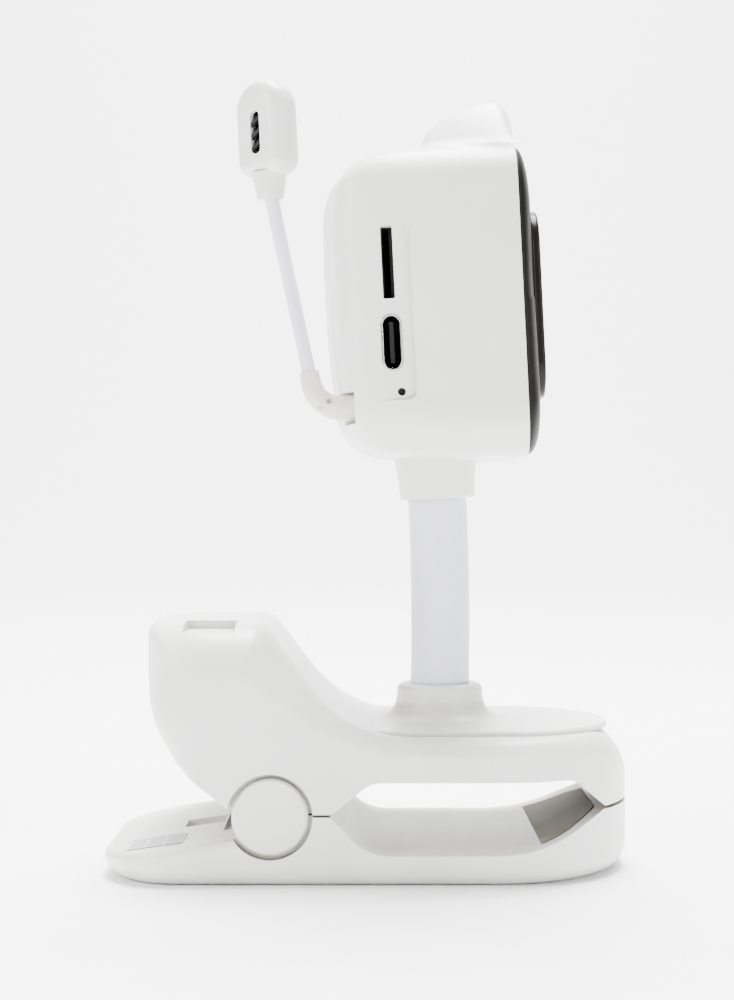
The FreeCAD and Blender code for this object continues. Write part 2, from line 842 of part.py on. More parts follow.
def head_shell_shape():
    front = size("head_front")
    wall = size("head_wall")
    outer = head_solid(0.0, front)
    inner = head_solid(wall, front + 5)
    collar_wire = rounded_wire(
        [
            (0, 0, 0),
            (size("collar_radius") - 0.1, 0, 0.5),
            (size("collar_radius"), 3.5, 8.0),
            (size("collar_radius") + 1.6, 8.2, 0),
            (0, 8.2, 0),
        ],
        lambda a, b: Vector(a, 0, b),
    )
    collar = Part.Face(collar_wire).revolve(Vector(0, 0, 0), Vector(0, 0, 1), 360)
    # blind walls behind the port pocket and round the root of the sensor boom
    root_u = size("boom_root_u") + 1.9
    root_w = size("boom_root_w")
    boom = size("boom_y")
    nest = block(-19, -9.0, -28, boom + 5.5, root_w - 5, root_w + 6).common(outer)
    shell = outer.cut(inner).fuse(nest).fuse(collar)
    shell = shell.cut(rod(size("sleeve_radius") + 0.05, Vector(0, 0, -1), Vector(0, 0, 6.2)))
    shell = shell.cut(rod(size("sleeve_bore"), Vector(0, 0, 5), Vector(0, 0, 12)))
    slot = prism_y(
        [
            (-30, root_w - 3.1, 0),
            (root_u, root_w - 3.1, 0.6),
            (root_u, root_w + 2.6, 0.6),
            (-30, root_w + 2.6, 0),
        ],
        -40,
        boom + 2.7,
    )
    shell = shell.cut(slot)
    return cut_ports(shell).removeSplitter()


def cut_ports(shell):
    """Flat-floored pocket with the card slot, the charging port and reset."""
    half = size("head_half")
    pocket = prism_y(
        [(-12.0, 16.2, 1.4), (-3.45, 16.2, 1.4), (-3.45, 44.6, 1.4), (-12.0, 44.6, 1.4)],
        -half - 2,
        size("pocket_floor"),
    )
    port = size("port_u")
    usb = usb_outline(0.12)
    card_half = size("card_slot") / 2
    thin = size("card_slot_thick") / 2
    card = block(
        port - 0.2 - thin, port - 0.2 + thin, -half - 2, -half + 5,
        size("card_w") - card_half, size("card_w") + card_half,
    )
    reset = rod(
        size("reset_hole"),
        Vector(size("reset_u"), -half - 2, size("reset_w")),
        Vector(size("reset_u"), -half + 5, size("reset_w")),
    )
    shell = shell.cut(pocket).cut(prism_y(usb, -half - 2, -half + 5)).cut(card).cut(reset)
    grille = [
        rod(0.6, Vector(-30, 3.0 * across, 24 + 3.0 * up), Vector(-12, 3.0 * across, 24 + 3.0 * up))
        for across in range(-2, 3)
        for up in range(-2, 3)
        if across * across + up * up < 6
    ]
    return shell.cut(grille[0].multiFuse(grille[1:]))


def usb_outline(grow):
    """The stadium of a charging port, standing on end."""
    port = size("port_u")
    thin = size("usb_thick") / 2 + grow
    tall = size("usb_width") / 2 + grow
    low = size("usb_w") - tall
    high = size("usb_w") + tall
    curve = thin - 0.02
    return [
        (port - thin, low, curve),
        (port + thin, low, curve),
        (port + thin, high, curve),
        (port - thin, high, curve),
    ]


def panel_shape():
    """Domed black front panel with a register lip that enters the shell."""
    front = size("head_front")
    half = size("head_half")
    low = size("head_bottom")
    high = size("head_top")
    thick = size("panel_thick")
    corner = size("head_corner")
    plate = prism_x(
        [(-half, low, corner), (half, low, corner), (half, high, corner), (-half, high, corner)],
        front + 0.02,
        front + thick,
    )
    plate = round_edges(
        plate,
        (size("panel_round"), 1.5),
        lambda e: e.BoundBox.XMin > front + thick - 0.01,
    )
    lip_in = size("head_wall") + 0.15
    lip = prism_x(
        [
            (-half + lip_in, low + lip_in, corner - lip_in),
            (half - lip_in, low + lip_in, corner - lip_in),
            (half - lip_in, high - lip_in, corner - lip_in),
            (-half + lip_in, high - lip_in, corner - lip_in),
        ],
        front - 1.6,
        front + 0.5,
    )
    hollow = prism_x(
        [
            (-half + 3.4, low + 3.4, corner - 3.4),
            (half - 3.4, low + 3.4, corner - 3.4),
            (half - 3.4, high - 3.4, corner - 3.4),
            (-half + 3.4, high - 3.4, corner - 3.4),
        ],
        front - 3,
        front + 0.6,
    )
    plate = plate.fuse(lip).cut(hollow)
    mid = size("head_mid")
    window = rod(size("lens_radius") + 0.3, Vector(0, 0, mid), Vector(40, 0, mid))
    return plate.cut(window).removeSplitter()


def visor_shape():
    """Raised plate on the panel, round the lens, covering the lamps."""
    mid = size("head_mid")
    half = size("visor_half")
    tall = size("visor_high") / 2
    start = size("head_front") + size("panel_thick") + 0.02
    end = start + size("visor_proud")
    corner = size("visor_corner")
    plate = prism_x(
        [
            (-half, mid - tall, corner),
            (half, mid - tall, corner),
            (half, mid + tall, corner),
            (-half, mid + tall, corner),
        ],
        start,
        end,
    )
    plate = round_edges(plate, (0.7, 0.5), lambda e: e.BoundBox.XMin > end - 0.01)
    return plate.cut(rod(size("lens_radius"), Vector(0, 0, mid), Vector(40, 0, mid)))


def ear_shape(side):
    """A cat ear: rounded level sections that shrink towards a forward tip."""
    top = size("head_top")
    middle = side * size("ear_y")
    sections = (
        (top - 2.0, -4.4, 14.0, 8.2, 4.0),
        (top + 1.0, -1.0, 14.2, 6.9, 3.4),
        (top + 3.4, 1.8, 14.2, 5.3, 2.6),
        (top + 5.4, 5.0, 14.0, 3.6, 1.7),
        (top + 6.8, 9.2, 13.6, 1.9, 0.9),
        (top + 7.3, 11.2, 12.8, 0.6, 0.25),
    )
    wires = []
    for w, back, front, half, corner in sections:
        outline = [
            (back, middle - half, corner),
            (front, middle - half, corner * 0.6),
            (front, middle + half, corner * 0.6),
            (back, middle + half, corner),
        ]
        wires.append(rounded_wire(outline, lambda a, b, w=w: Vector(a, b, w)))
    return Part.makeLoft(wires, True, False)


# -------------------------------------------------------------- head sub-parts


def build_head():
    keep("head_shell", own("head_shell", head_shell_shape(), HEAD))
    keep("front_panel", own("front_panel", panel_shape(), HEAD))
    keep("lens_visor", own("lens_visor", visor_shape(), HEAD))
    shell = head_solid(0.0, size("head_front"))
    for name, side in (("ear_near", -1), ("ear_far", 1)):
        keep(name, own(name, ear_shape(side).cut(shell).Solids[0], HEAD))
    build_optics()
    build_electronics()


def head_spot(u, y, w, turn=None):
    return HEAD.multiply(spot(u, y, w, turn))


def build_optics():
    front = size("head_front") + size("panel_thick")
    mid = size("head_mid")
    glass = turned_body(
        "lens_glass",
        [
            ("0", "0"),
            ("lens_radius - 0.1", "0"),
            ("lens_radius - 0.1", "0.9"),
            ("lens_radius - 0.6", "1.2"),
            ("0", "1.2"),
        ],
        head_spot(front, 0, mid, ALONG_X),
    )
    keep("lens_glass", glass)
    barrel = turned_body(
        "lens_barrel",
        [
            ("0", "0"),
            ("4.4", "0"),
            ("4.4", "9"),
            ("3.0", "9"),
            ("2.2", "8"),
            ("0", "8"),
        ],
        head_spot(front - 9.8, 0, mid, ALONG_X),
    )
    keep("lens_barrel", barrel)
    holder_block = box("holder_block", "4.5", "12", "12", spot(front - 13.5, -6, mid - 6))
    holder_bore = cylinder("holder_bore", "4.45", "9", spot(front - 11.5, 0, mid, ALONG_X))
    holder = cut("lens_holder", holder_block, holder_bore)
    holder.Placement = HEAD
    keep("lens_holder", holder)
    chip = padded_body(
        "image_sensor",
        [("0 - 3", "0 - 3"), ("3", "0 - 3"), ("3", "3"), ("0 - 3", "3")],
        "0.8",
        head_spot(front - 11.45, 0, mid, ALONG_X),
    )
    keep("image_sensor", chip)
    board = box("lamp_board", "board_thick", "36", "26", spot(front - 5.0, -18, mid - 13))
    hole = cylinder("lamp_board_hole", "5.2", "6", spot(front - 7.0, 0, mid, ALONG_X))
    lamps_board = cut("lamp_board_cut", board, hole)
    lamps_board.Placement = HEAD
    keep("lamp_board", lamps_board)
    lamps = []
    for y, w in ((-12.5, -7.5), (-12.5, 7.5), (12.5, -7.5), (12.5, 7.5)):
        foot = Vector(front - 4.0, y, mid + w)
        body = rod(1.5, foot, foot + Vector(1.0, 0, 0))
        dome = Part.makeSphere(1.3, foot + Vector(0.8, 0, 0))
        dome = dome.common(block(foot.x + 0.5, foot.x + 3, y - 2, y + 2, mid + w - 2, mid + w + 2))
        lamps.append(body.fuse(dome))
    keep("night_lamps", own("night_lamps", Part.makeCompound(lamps), HEAD))
    eye = cylinder("light_sensor", "1.1", "1.2", head_spot(front - 4.0, 0, mid + 9.5, ALONG_X))
    keep("light_sensor", eye)


def build_electronics():
    half = size("head_half")
    front = size("head_front") + size("panel_thick")
    mid = size("head_mid")
    board = box("main_board", "board_thick", "46", "40", head_spot(front - 15.0, -23.0, mid - 19.0))
    keep("main_board", board)
    usb_length = size("usb_depth")
    outer = prism_y(usb_outline(0.0), size("pocket_floor") + 0.15, size("pocket_floor") + 0.15 + usb_length)
    inner = prism_y(usb_outline(-0.3), size("pocket_floor") - 1, size("pocket_floor") + usb_length - 0.6)
    keep("charge_port", own("charge_port", outer.cut(inner), HEAD))
    port = size("port_u")
    tongue = box("port_tongue", "0.7", "usb_depth - 1.4", "6.6", WORLD)
    tongue.Placement = head_spot(port - 0.35, size("pocket_floor") + 0.75, size("usb_w") - 3.3)
    keep("port_tongue", tongue)
    card_w = size("card_w")
    socket = block(port - 1.6, port + 1.2, -half + 3.3, -half + 16.5, card_w - 6.6, card_w + 6.6)
    way = block(port - 0.75, port + 0.35, -half - 2, -half + 15.5, card_w - 5.6, card_w + 5.6)
    keep("card_socket", own("card_socket", socket.cut(way), HEAD))
    switch = box("reset_switch", "3", "3", "3", WORLD)
    switch.Placement = head_spot(size("reset_u") - 1.5, -half + 5.0, size("reset_w") - 1.5)
    keep("reset_switch", switch)
    button = cylinder("reset_button", "reset_hole - 0.15", "2.6", WORLD)
    button.Placement = head_spot(size("reset_u"), -half + 4.55, size("reset_w"), AGAINST_Y)
    keep("reset_button", button)
    speaker = turned_body(
        "speaker",
        [("0", "0"), ("7.2", "0"), ("7.2", "2.2"), ("5.5", "3.4"), ("0", "3.4")],
        head_spot(-14.2, 0, 25.0, ALONG_X),
    )
    keep("speaker", speaker)
    mic = cylinder("microphone", "2", "1.2", head_spot(front - 3.1, -20.0, 12.5, ALONG_X))
    keep("microphone", mic)
    antenna = box("wifi_antenna", "0.3", "30", "8", head_spot(3.0, -15.0, 47.3))
    keep("wifi_antenna", antenna)
    screws = [
        rod(1.1, Vector(front - 16.2, y, mid + w), Vector(front - 15.02, y, mid + w)).fuse(
            rod(0.6, Vector(front - 17.8, y, mid + w), Vector(front - 16.2, y, mid + w))
        )
        for y in (-20.5, 20.5)
        for w in (-16.5, 18.0)
    ]
    keep("board_screws", own("board_screws", Part.makeCompound(screws), HEAD))


# ------------------------------------------------------------------ sensor boom


def boom_line(share):
    """A point on the boom's straight centre line, in the head's own frame."""
    low = Vector(size("boom_low_u"), size("boom_y"), size("boom_low_w"))
    high = Vector(size("boom_high_u"), size("boom_y"), size("boom_high_w"))
    return low + (high - low) * share


BOOM_JOINTS = (0.22, 0.62)


def build_boom():
    low = boom_line(0.0)
    ahead = boom_line(1.0) - low
    ahead.normalize()
    lean = math.atan2(-ahead.x, ahead.z)
    radius = size("boom_bend")
    straight = ahead * 2.0
    arc_end = low - straight
    centre_w = arc_end.z - radius * (1 - math.cos(math.pi / 2 - lean)) + radius
    start = Vector(arc_end.x + radius * math.cos(lean), low.y, centre_w - radius)
    turn = (math.pi / 2 - lean) / 2
    middle = Vector(start.x - radius * math.sin(turn), low.y, start.z + radius * (1 - math.cos(turn)))
    bend = Part.Arc(start, middle, arc_end).toShape()
    entry = Vector(size("boom_root_u") + 1.8, low.y, start.z)
    spine = Part.Wire([Part.makeLine(entry, start), bend, Part.makeLine(arc_end, low)])
    thick = Part.Wire(Part.makeCircle(2.2, entry, Vector(-1, 0, 0)))
    thin = Part.Wire(Part.makeCircle(1.6, low, ahead))
    elbow = spine.makePipeShell([thick, thin], True, False)
    for u, w in ((-17.8, 16.9), (-19.3, 15.9)):
        elbow = elbow.cut(rod(0.45, Vector(u, low.y - 4, w), Vector(u, low.y - 1.2, w)))
    keep("boom_elbow", own("boom_elbow", elbow, HEAD))
    gap = size("boom_gap")
    length = (boom_line(1.0) - low).Length
    stops = [0.0] + [share * length for share in BOOM_JOINTS] + [length + 1.5]
    names = ("boom_root", "boom_middle", "boom_top")
    for i, name in enumerate(names):
        first = stops[i] + (gap if i else 0.02)
        final = stops[i + 1] - (gap if i < 2 else 0)
        piece = cylinder(name, "boom_radius", f"{final - first:.3f}", WORLD)
        foot = low + ahead * first
        piece.Placement = HEAD.multiply(Placement(foot, Rotation(Vector(0, 0, 1), ahead)))
        keep(name, piece)
    build_probe()


def build_probe():
    """Flattened capsule with a vented window, on a short neck."""
    wide = size("probe_width")
    deep = size("probe_depth")
    tall = size("probe_high")
    foot = boom_line(1.0) + Vector(-0.2, 0, 0)
    place = HEAD.multiply(Placement(foot, Rotation(Vector(0, 0, 1), size("probe_turn"))))
    neck_high = size("probe_neck")
    corner = wide / 2 - 0.05
    body = prism_y(
        [
            (-wide / 2, neck_high, 2.6),
            (wide / 2, neck_high, 2.6),
            (wide / 2, neck_high + tall, corner),
            (-wide / 2, neck_high + tall, corner),
        ],
        -deep / 2,
        deep / 2,
    )
    body = round_edges(
        body,
        (2.4, 2.0, 1.5),
        lambda e: abs(e.BoundBox.YMin) > deep / 2 - 0.01 and e.BoundBox.YLength < 0.01,
    )
    neck = Part.makeCone(2.1, 2.9, neck_high + 0.6, Vector(0, 0, 0))
    body = body.fuse(neck)
    window = prism_y(
        [
            (-1.0, neck_high + 3.5, 0.9),
            (1.0, neck_high + 3.5, 0.9),
            (1.0, neck_high + 10.5, 0.9),
            (-1.0, neck_high + 10.5, 0.9),
        ],
        -deep,
        -deep / 2 + 0.8,
    )
    cavity = prism_y(
        [
            (-2.6, neck_high + 2, 1),
            (2.6, neck_high + 2, 1),
            (2.6, neck_high + 12, 1),
            (-2.6, neck_high + 12, 1),
        ],
        -deep / 2 + 0.8,
        deep / 2 - 1.2,
    )
    bore = rod(size("boom_radius") + 0.02, Vector(0, 0, -3), Vector(0, 0, 2.6))
    lean = Placement(Vector(), Rotation(Vector(0, 0, 1), -size("probe_turn")))
    body = body.cut(window).cut(cavity).cut(bore_along(lean))
    split = block(-20, 20, 0.01, 20, -5, 40)
    keep("probe_rear", own("probe_rear", body.common(split), place))
    keep("probe_front", own("probe_front", body.cut(block(-20, 20, -0.01, 20, -5, 40)), place))
    slats = [
        prism_y(
            [(-0.98, z, 0), (0.98, z + 1.3, 0), (0.98, z + 2.0, 0), (-0.98, z + 0.7, 0)],
            -deep / 2 + 0.15,
            -deep / 2 + 0.7,
        )
        for z in (neck_high + 3.9, neck_high + 5.9, neck_high + 7.9)
    ]
    keep("probe_vent", own("probe_vent", Part.makeCompound(slats), place))
    chip = box("probe_sensor", "4", "1", "8", place.multiply(spot(-2, -0.6, neck_high + 3)))
    keep("probe_sensor", chip)


def bore_along(lean):
    """The hole that takes the top of the boom, slanting with it."""
    ahead = boom_line(1.0) - boom_line(0.0)
    ahead.normalize()
    start = Vector(0.2, 0, 0)
    hole = rod(size("boom_radius") + 0.02, start - ahead * 3, start + ahead * 1.6)
    hole.Placement = lean
    return hole


build_lower_jaw()
build_upper_jaw()
build_neck()
build_head()
build_boom()
doc.recompute()

for item in doc.Objects:
    if "Invalid" in item.State or "Error" in item.State:
        raise RuntimeError(f"{item.Label} is in error: {item.State}")
for label, item in sub_parts.items():
    if item.Shape.isNull() or not item.Shape.isValid():
        raise RuntimeError(f"{label} has no valid shape")
for label, item in sub_parts.items():
    item.Shape.exportStep(f"parts/{label}.step")
print(len(sub_parts), "sub-parts written")
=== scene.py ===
import json
import math

import bpy
import numpy as np
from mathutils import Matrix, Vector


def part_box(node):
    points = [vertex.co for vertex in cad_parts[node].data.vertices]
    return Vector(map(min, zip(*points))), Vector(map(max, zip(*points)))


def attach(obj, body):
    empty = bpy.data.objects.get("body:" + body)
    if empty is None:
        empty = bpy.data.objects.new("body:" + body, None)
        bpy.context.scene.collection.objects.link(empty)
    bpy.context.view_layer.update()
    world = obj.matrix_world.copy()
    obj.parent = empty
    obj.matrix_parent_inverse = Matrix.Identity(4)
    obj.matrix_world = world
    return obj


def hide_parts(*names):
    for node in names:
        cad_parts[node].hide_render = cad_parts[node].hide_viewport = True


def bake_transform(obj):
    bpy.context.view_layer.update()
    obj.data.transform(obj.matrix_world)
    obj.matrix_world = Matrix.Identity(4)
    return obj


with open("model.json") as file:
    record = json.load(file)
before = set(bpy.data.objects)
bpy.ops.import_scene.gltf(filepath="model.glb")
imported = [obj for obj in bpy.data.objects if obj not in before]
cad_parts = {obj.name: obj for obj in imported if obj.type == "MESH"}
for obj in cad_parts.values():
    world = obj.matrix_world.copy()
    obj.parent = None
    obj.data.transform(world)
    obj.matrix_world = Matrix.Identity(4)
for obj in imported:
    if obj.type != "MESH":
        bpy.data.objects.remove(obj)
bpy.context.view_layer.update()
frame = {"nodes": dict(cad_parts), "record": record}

# Clip-on baby monitor camera.  +X is the way the lens looks, -Y is the side
# with the ports, +Z is up.  Lengths are in metres; MM turns millimetres to them.

MM = 0.001
NODES = frame["nodes"]
JOINTS = {joint["name"]: joint for joint in frame["record"]["behaviour"]["joints"]}

# The head leans back about the foot of its collar, and the gooseneck is a
# gentle arc between the boss on the clamp and that foot.
HEAD_TILT = math.radians(2.8)
HEAD_FOOT = np.array([12.1, 0.0, 63.4]) * MM
NECK_LEAN = math.radians(1.2)
NECK_LENGTH = 32.3 * MM
BOSS_TOP = np.array([12.5, 0.0, 31.3]) * MM


# ------------------------------------------------------------------- surfaces


def head_place(points):
    """Points (u forward, y, w up) in the head's own frame, turned and moved to the row frame."""
    u, y, w = points[..., 0], points[..., 1], points[..., 2]
    x = HEAD_FOOT[0] + u * math.cos(HEAD_TILT) - w * math.sin(HEAD_TILT)
    z = HEAD_FOOT[2] + u * math.sin(HEAD_TILT) + w * math.cos(HEAD_TILT)
    return np.stack([x, HEAD_FOOT[1] + y, z], axis=-1)


def head_inverse(points):
    """Row-frame points read back in the head's own frame."""
    x = points[..., 0] - HEAD_FOOT[0]
    z = points[..., 2] - HEAD_FOOT[2]
    u = x * math.cos(HEAD_TILT) + z * math.sin(HEAD_TILT)
    w = -x * math.sin(HEAD_TILT) + z * math.cos(HEAD_TILT)
    return np.stack([u, points[..., 1], w], axis=-1)


def node_middle(node):
    """The middle of a node's box."""
    low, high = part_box(node)
    return (np.array(low) + np.array(high)) / 2


def make_piece(name, points, faces, material):
    """A mesh object at the origin, smooth, its faces turned outwards by its signed volume."""
    mesh = bpy.data.meshes.new(name)
    mesh.from_pydata(points.tolist(), [], faces)
    mesh.update()
    corners = [points[[face[i] for face in faces]] for i in range(3)]
    middle = points.mean(axis=0)
    spread = np.cross(corners[1] - corners[0], corners[2] - corners[0])
    if np.einsum("ij,ij->", corners[0] - middle, spread) < 0:
        mesh.flip_normals()
    mesh.shade_smooth()
    piece = bpy.data.objects.new(name, mesh)
    bpy.context.scene.collection.objects.link(piece)
    mesh.materials.append(material)
    return piece


def grid_faces(rows, columns, wrap, start_cap=False, end_cap=False):
    """Quads of a rows x columns grid whose columns close on themselves when wrap is set."""
    last = columns if wrap else columns - 1
    row, column = np.meshgrid(np.arange(rows - 1), np.arange(last), indexing="ij")
    a = row * columns + column
    b = row * columns + (column + 1) % columns
    quads = np.stack([a, b, b + columns, a + columns], axis=-1).reshape(-1, 4)
    faces = quads.tolist()
    if start_cap:
        faces.append(list(range(columns))[::-1])
    if end_cap:
        faces.append([(rows - 1) * columns + i for i in range(columns)])
    return faces


def grid_piece(name, grid, material, wrap=True, start_cap=False, end_cap=False):
    """A piece from a grid of points, rows by columns."""
    rows, columns = grid.shape[:2]
    faces = grid_faces(rows, columns, wrap, start_cap, end_cap)
    return make_piece(name, grid.reshape(-1, 3), faces, material)


def swept_tube(path, radius, around=48):
    """Rings of a given radius square to a path that lies in a plane of constant y."""
    ahead = np.gradient(path, axis=0)
    ahead /= np.linalg.norm(ahead, axis=1)[:, None]
    out = np.stack([ahead[:, 2], 0 * ahead[:, 0], -ahead[:, 0]], axis=1)
    turn = np.linspace(0, 2 * math.pi, around, endpoint=False)
    radius = np.broadcast_to(radius, len(path))[:, None, None]
    cross = np.array([0.0, 1.0, 0.0])
    ring = np.cos(turn)[None, :, None] * out[:, None, :] + np.sin(turn)[None, :, None] * cross
    return path[:, None, :] + radius * ring


def turned(profile, around=96):
    """A profile of (radius, height) turned about the vertical axis."""
    profile = np.array(profile)
    turn = np.linspace(0, 2 * math.pi, around, endpoint=False)
    x = profile[:, :1] * np.cos(turn)
    y = profile[:, :1] * np.sin(turn)
    z = np.repeat(profile[:, 1:], around, axis=1)
    return np.stack([x, y, z], axis=-1)


def rounded_meeting(radius, *walls):
    """Walls are distances, negative inside; where they meet, the edge is a round of the radius."""
    reach = [np.maximum(wall + radius, 0) ** 2 for wall in walls]
    inside = np.maximum.reduce([wall for wall in walls])
    meeting = np.sqrt(sum(reach)) - radius
    return np.where(sum(reach) > 0, meeting, inside)


def soft_larger(a, b, reach):
    """The larger of two distances, blended over a reach so that no crease is left."""
    near = np.maximum(reach - np.abs(a - b), 0) / reach
    return np.maximum(a, b) + near * near * reach / 4


def cast(wall, origin, direction, far):
    """The points where rays leave a closed surface, found by halving the distance many times."""
    low = np.zeros(direction.shape[:-1])
    high = np.full(direction.shape[:-1], far)
    for _ in range(36):
        middle = (low + high) / 2
        inside = wall(origin + middle[..., None] * direction) < 0
        low = np.where(inside, middle, low)
        high = np.where(inside, high, middle)
    return origin + low[..., None] * direction


def block(name, low, high):
    """A plain cutter block in the head's own frame, thrown away after its cut."""
    low = np.array(low)
    high = np.array(high)
    corners = np.array([[x, y, z] for x in (0, 1) for y in (0, 1) for z in (0, 1)])
    points = head_place(low + corners * (high - low))
    faces = [[0, 1, 3, 2], [4, 6, 7, 5], [0, 4, 5, 1], [2, 3, 7, 6], [0, 2, 6, 4], [1, 5, 7, 3]]
    return make_piece(name, points, faces, moulded_abs)


def stadium(name, centre, half_u, half_w, near, far, corner):
    """A cutter with a round-cornered outline in (u, w), reaching across y from near to far."""
    turn = np.linspace(0, 2 * math.pi, 64, endpoint=False)
    u = centre[0] + np.sign(np.cos(turn)) * (half_u - corner) + corner * np.cos(turn)
    w = centre[1] + np.sign(np.sin(turn)) * (half_w - corner) + corner * np.sin(turn)
    rows = [np.stack([u, np.full_like(u, y), w], axis=-1) for y in (near, far)]
    grid = head_place(np.stack(rows))
    return grid_piece(name, grid, moulded_abs, start_cap=True, end_cap=True)


def carve(piece, cutters):
    """Cuts each cutter out of a piece for good, then drops the cutter."""
    bpy.context.view_layer.objects.active = piece
    for cutter in cutters:
        cut = piece.modifiers.new("cut", "BOOLEAN")
        cut.operation = "DIFFERENCE"
        cut.solver = "EXACT"
        cut.object = cutter
        bpy.ops.object.modifier_apply(modifier=cut.name)
        bpy.data.objects.remove(cutter, do_unlink=True)


def soften_by_angle(piece, degrees):
    """Smooth shading that keeps edges sharper than an angle crisp."""
    mesh = piece.data
    mesh.shade_smooth()
    mesh.set_sharp_from_angle(angle=math.radians(degrees))


# ------------------------------------------------------------------- materials

# How far above a face something still counts as covering it, for the painted shade in covered hollows.
PAINTED_SHADE_REACH = 32 * MM
# A mix node's sockets share their names between types, so its colours go by number.
MIX_COLOUR_A = 6
MIX_COLOUR_B = 7
MIX_COLOUR_OUT = 2

# The broad patches of tint and of gloss that run through every moulding, in millimetres.
TINT_PATCH = 14.0
GLOSS_PATCH = 3.0


def linear(colour):
    """An sRGB hex colour as linear light with full alpha."""
    parts = [int(colour[i : i + 2], 16) / 255 for i in (1, 3, 5)]
    lit = [p / 12.92 if p <= 0.04045 else ((p + 0.055) / 1.055) ** 2.4 for p in parts]
    return (*lit, 1.0)


def add_node(tree, kind, settings=None, **links):
    """Adds one node; settings are attributes or socket values, links feed its inputs."""
    node = tree.nodes.new(kind)
    for key, value in (settings or {}).items():
        if hasattr(node, key):
            setattr(node, key, value)
        else:
            node.inputs[key].default_value = value
    for key, source in links.items():
        tree.links.new(source, node.inputs[key.replace("_", " ")])
    return node


def new_material(name):
    """A material with one principled shader, and its object coordinates to place patterns by."""
    material = bpy.data.materials.new(name)
    material.use_nodes = True
    tree = material.node_tree
    tree.nodes.clear()
    output = add_node(tree, "ShaderNodeOutputMaterial")
    shader = add_node(tree, "ShaderNodeBsdfPrincipled")
    tree.links.new(shader.outputs["BSDF"], output.inputs["Surface"])
    place = add_node(tree, "ShaderNodeTexCoord").outputs["Object"]
    return material, tree, shader, place


def tinted(tree, fac, first, second, low=0.35, high=0.65):
    """A colour that wanders between two hex colours with a pattern's value."""
    ramp = add_node(tree, "ShaderNodeValToRGB", Fac=fac)
    ramp.color_ramp.elements[0].position = low
    ramp.color_ramp.elements[0].color = linear(first)
    ramp.color_ramp.elements[1].position = high
    ramp.color_ramp.elements[1].color = linear(second)
    return ramp.outputs["Color"]


def ranged(tree, value, low, high):
    """A pattern's 0 to 1 mapped to a narrower range."""
    spread = add_node(tree, "ShaderNodeMapRange", {"To Min": low, "To Max": high}, Value=value)
    return spread.outputs["Result"]


def noise(tree, place, size, detail=3.0):
    """Noise whose blotches are about a size in millimetres across."""
    settings = {"Scale": 1 / (size * MM), "Detail": detail, "Roughness": 0.55}
    return add_node(tree, "ShaderNodeTexNoise", settings, Vector=place).outputs["Fac"]


def painted_recess_shade(tree, colour, recess):
    """Painted shade: a colour that leans towards the recess colour on upward faces with something
    close above.

    The share of open sky is the larger of two values: how little of the near
    hemisphere is covered, and how far the face is from pointing up.
    """
    cover = add_node(tree, "ShaderNodeAmbientOcclusion", {"Distance": PAINTED_SHADE_REACH})
    limits = {"From Min": 0.30, "From Max": 0.80}
    uncovered = add_node(tree, "ShaderNodeMapRange", limits, Value=cover.outputs["AO"])
    geometry = add_node(tree, "ShaderNodeNewGeometry")
    facing = add_node(tree, "ShaderNodeSeparateXYZ", Vector=geometry.outputs["Normal"])
    limits = {"From Min": 0.15, "From Max": 0.60, "To Min": 1.0, "To Max": 0.0}
    upright = add_node(tree, "ShaderNodeMapRange", limits, Value=facing.outputs["Z"])
    open_sky = add_node(tree, "ShaderNodeMath", {"operation": "MAXIMUM"})
    tree.links.new(uncovered.outputs["Result"], open_sky.inputs[0])
    tree.links.new(upright.outputs["Result"], open_sky.inputs[1])
    mixed = add_node(tree, "ShaderNodeMix", {"data_type": "RGBA"}, Factor=open_sky.outputs["Value"])
    mixed.inputs[MIX_COLOUR_A].default_value = linear(recess)
    tree.links.new(colour, mixed.inputs[MIX_COLOUR_B])
    return mixed.outputs[MIX_COLOUR_OUT]


def moulded(name, colours, rough, grain, depth, sheen=0.0, coat=0.0, soft=0.0, shine=0.5, recess=None):
    """A moulded plastic or rubber: two near colours, uneven gloss and a spark-eroded grain.

    grain is the size of the mould's texture and depth its height, both in millimetres.
    recess is the colour of the painted shade towards which covered, upward faces lean.
    """
    material, tree, shader, place = new_material(name)
    broad = noise(tree, place, TINT_PATCH, 2.0)
    middling = noise(tree, place, GLOSS_PATCH, 4.0)
    fine = noise(tree, place, grain, 2.0)
    colour = tinted(tree, broad, *colours)
    # painted shade: covered, upward faces darken towards the recess colour
    if recess:
        colour = painted_recess_shade(tree, colour, recess)
    tree.links.new(colour, shader.inputs["Base Color"])
    tree.links.new(ranged(tree, middling, rough - 0.05, rough + 0.06), shader.inputs["Roughness"])
    bump = add_node(tree, "ShaderNodeBump", {"Strength": 0.5, "Distance": depth * MM}, Height=fine)
    tree.links.new(bump.outputs["Normal"], shader.inputs["Normal"])
    shader.inputs["Sheen Weight"].default_value = sheen
    shader.inputs["Coat Weight"].default_value = coat
    shader.inputs["Coat Roughness"].default_value = 0.12
    shader.inputs["IOR"].default_value = 1.5
    shader.inputs["Specular IOR Level"].default_value = shine
    if soft:
        shader.inputs["Subsurface Weight"].default_value = soft
        shader.inputs["Subsurface Scale"].default_value = 1.2 * MM
    return material


def metal(name, colours, rough, scratch, stretch):
    """A bare metal with drawn or brushed lines, stretched along one axis."""
    material, tree, shader, place = new_material(name)
    shape = add_node(tree, "ShaderNodeMapping", {"Scale": stretch}, Vector=place)
    lines = noise(tree, shape.outputs["Vector"], scratch, 5.0)
    tree.links.new(tinted(tree, lines, *colours), shader.inputs["Base Color"])
    tree.links.new(ranged(tree, lines, rough - 0.08, rough + 0.1), shader.inputs["Roughness"])
    bump = add_node(tree, "ShaderNodeBump", {"Strength": 0.3, "Distance": 0.01 * MM}, Height=lines)
    tree.links.new(bump.outputs["Normal"], shader.inputs["Normal"])
    shader.inputs["Metallic"].default_value = 1.0
    return material


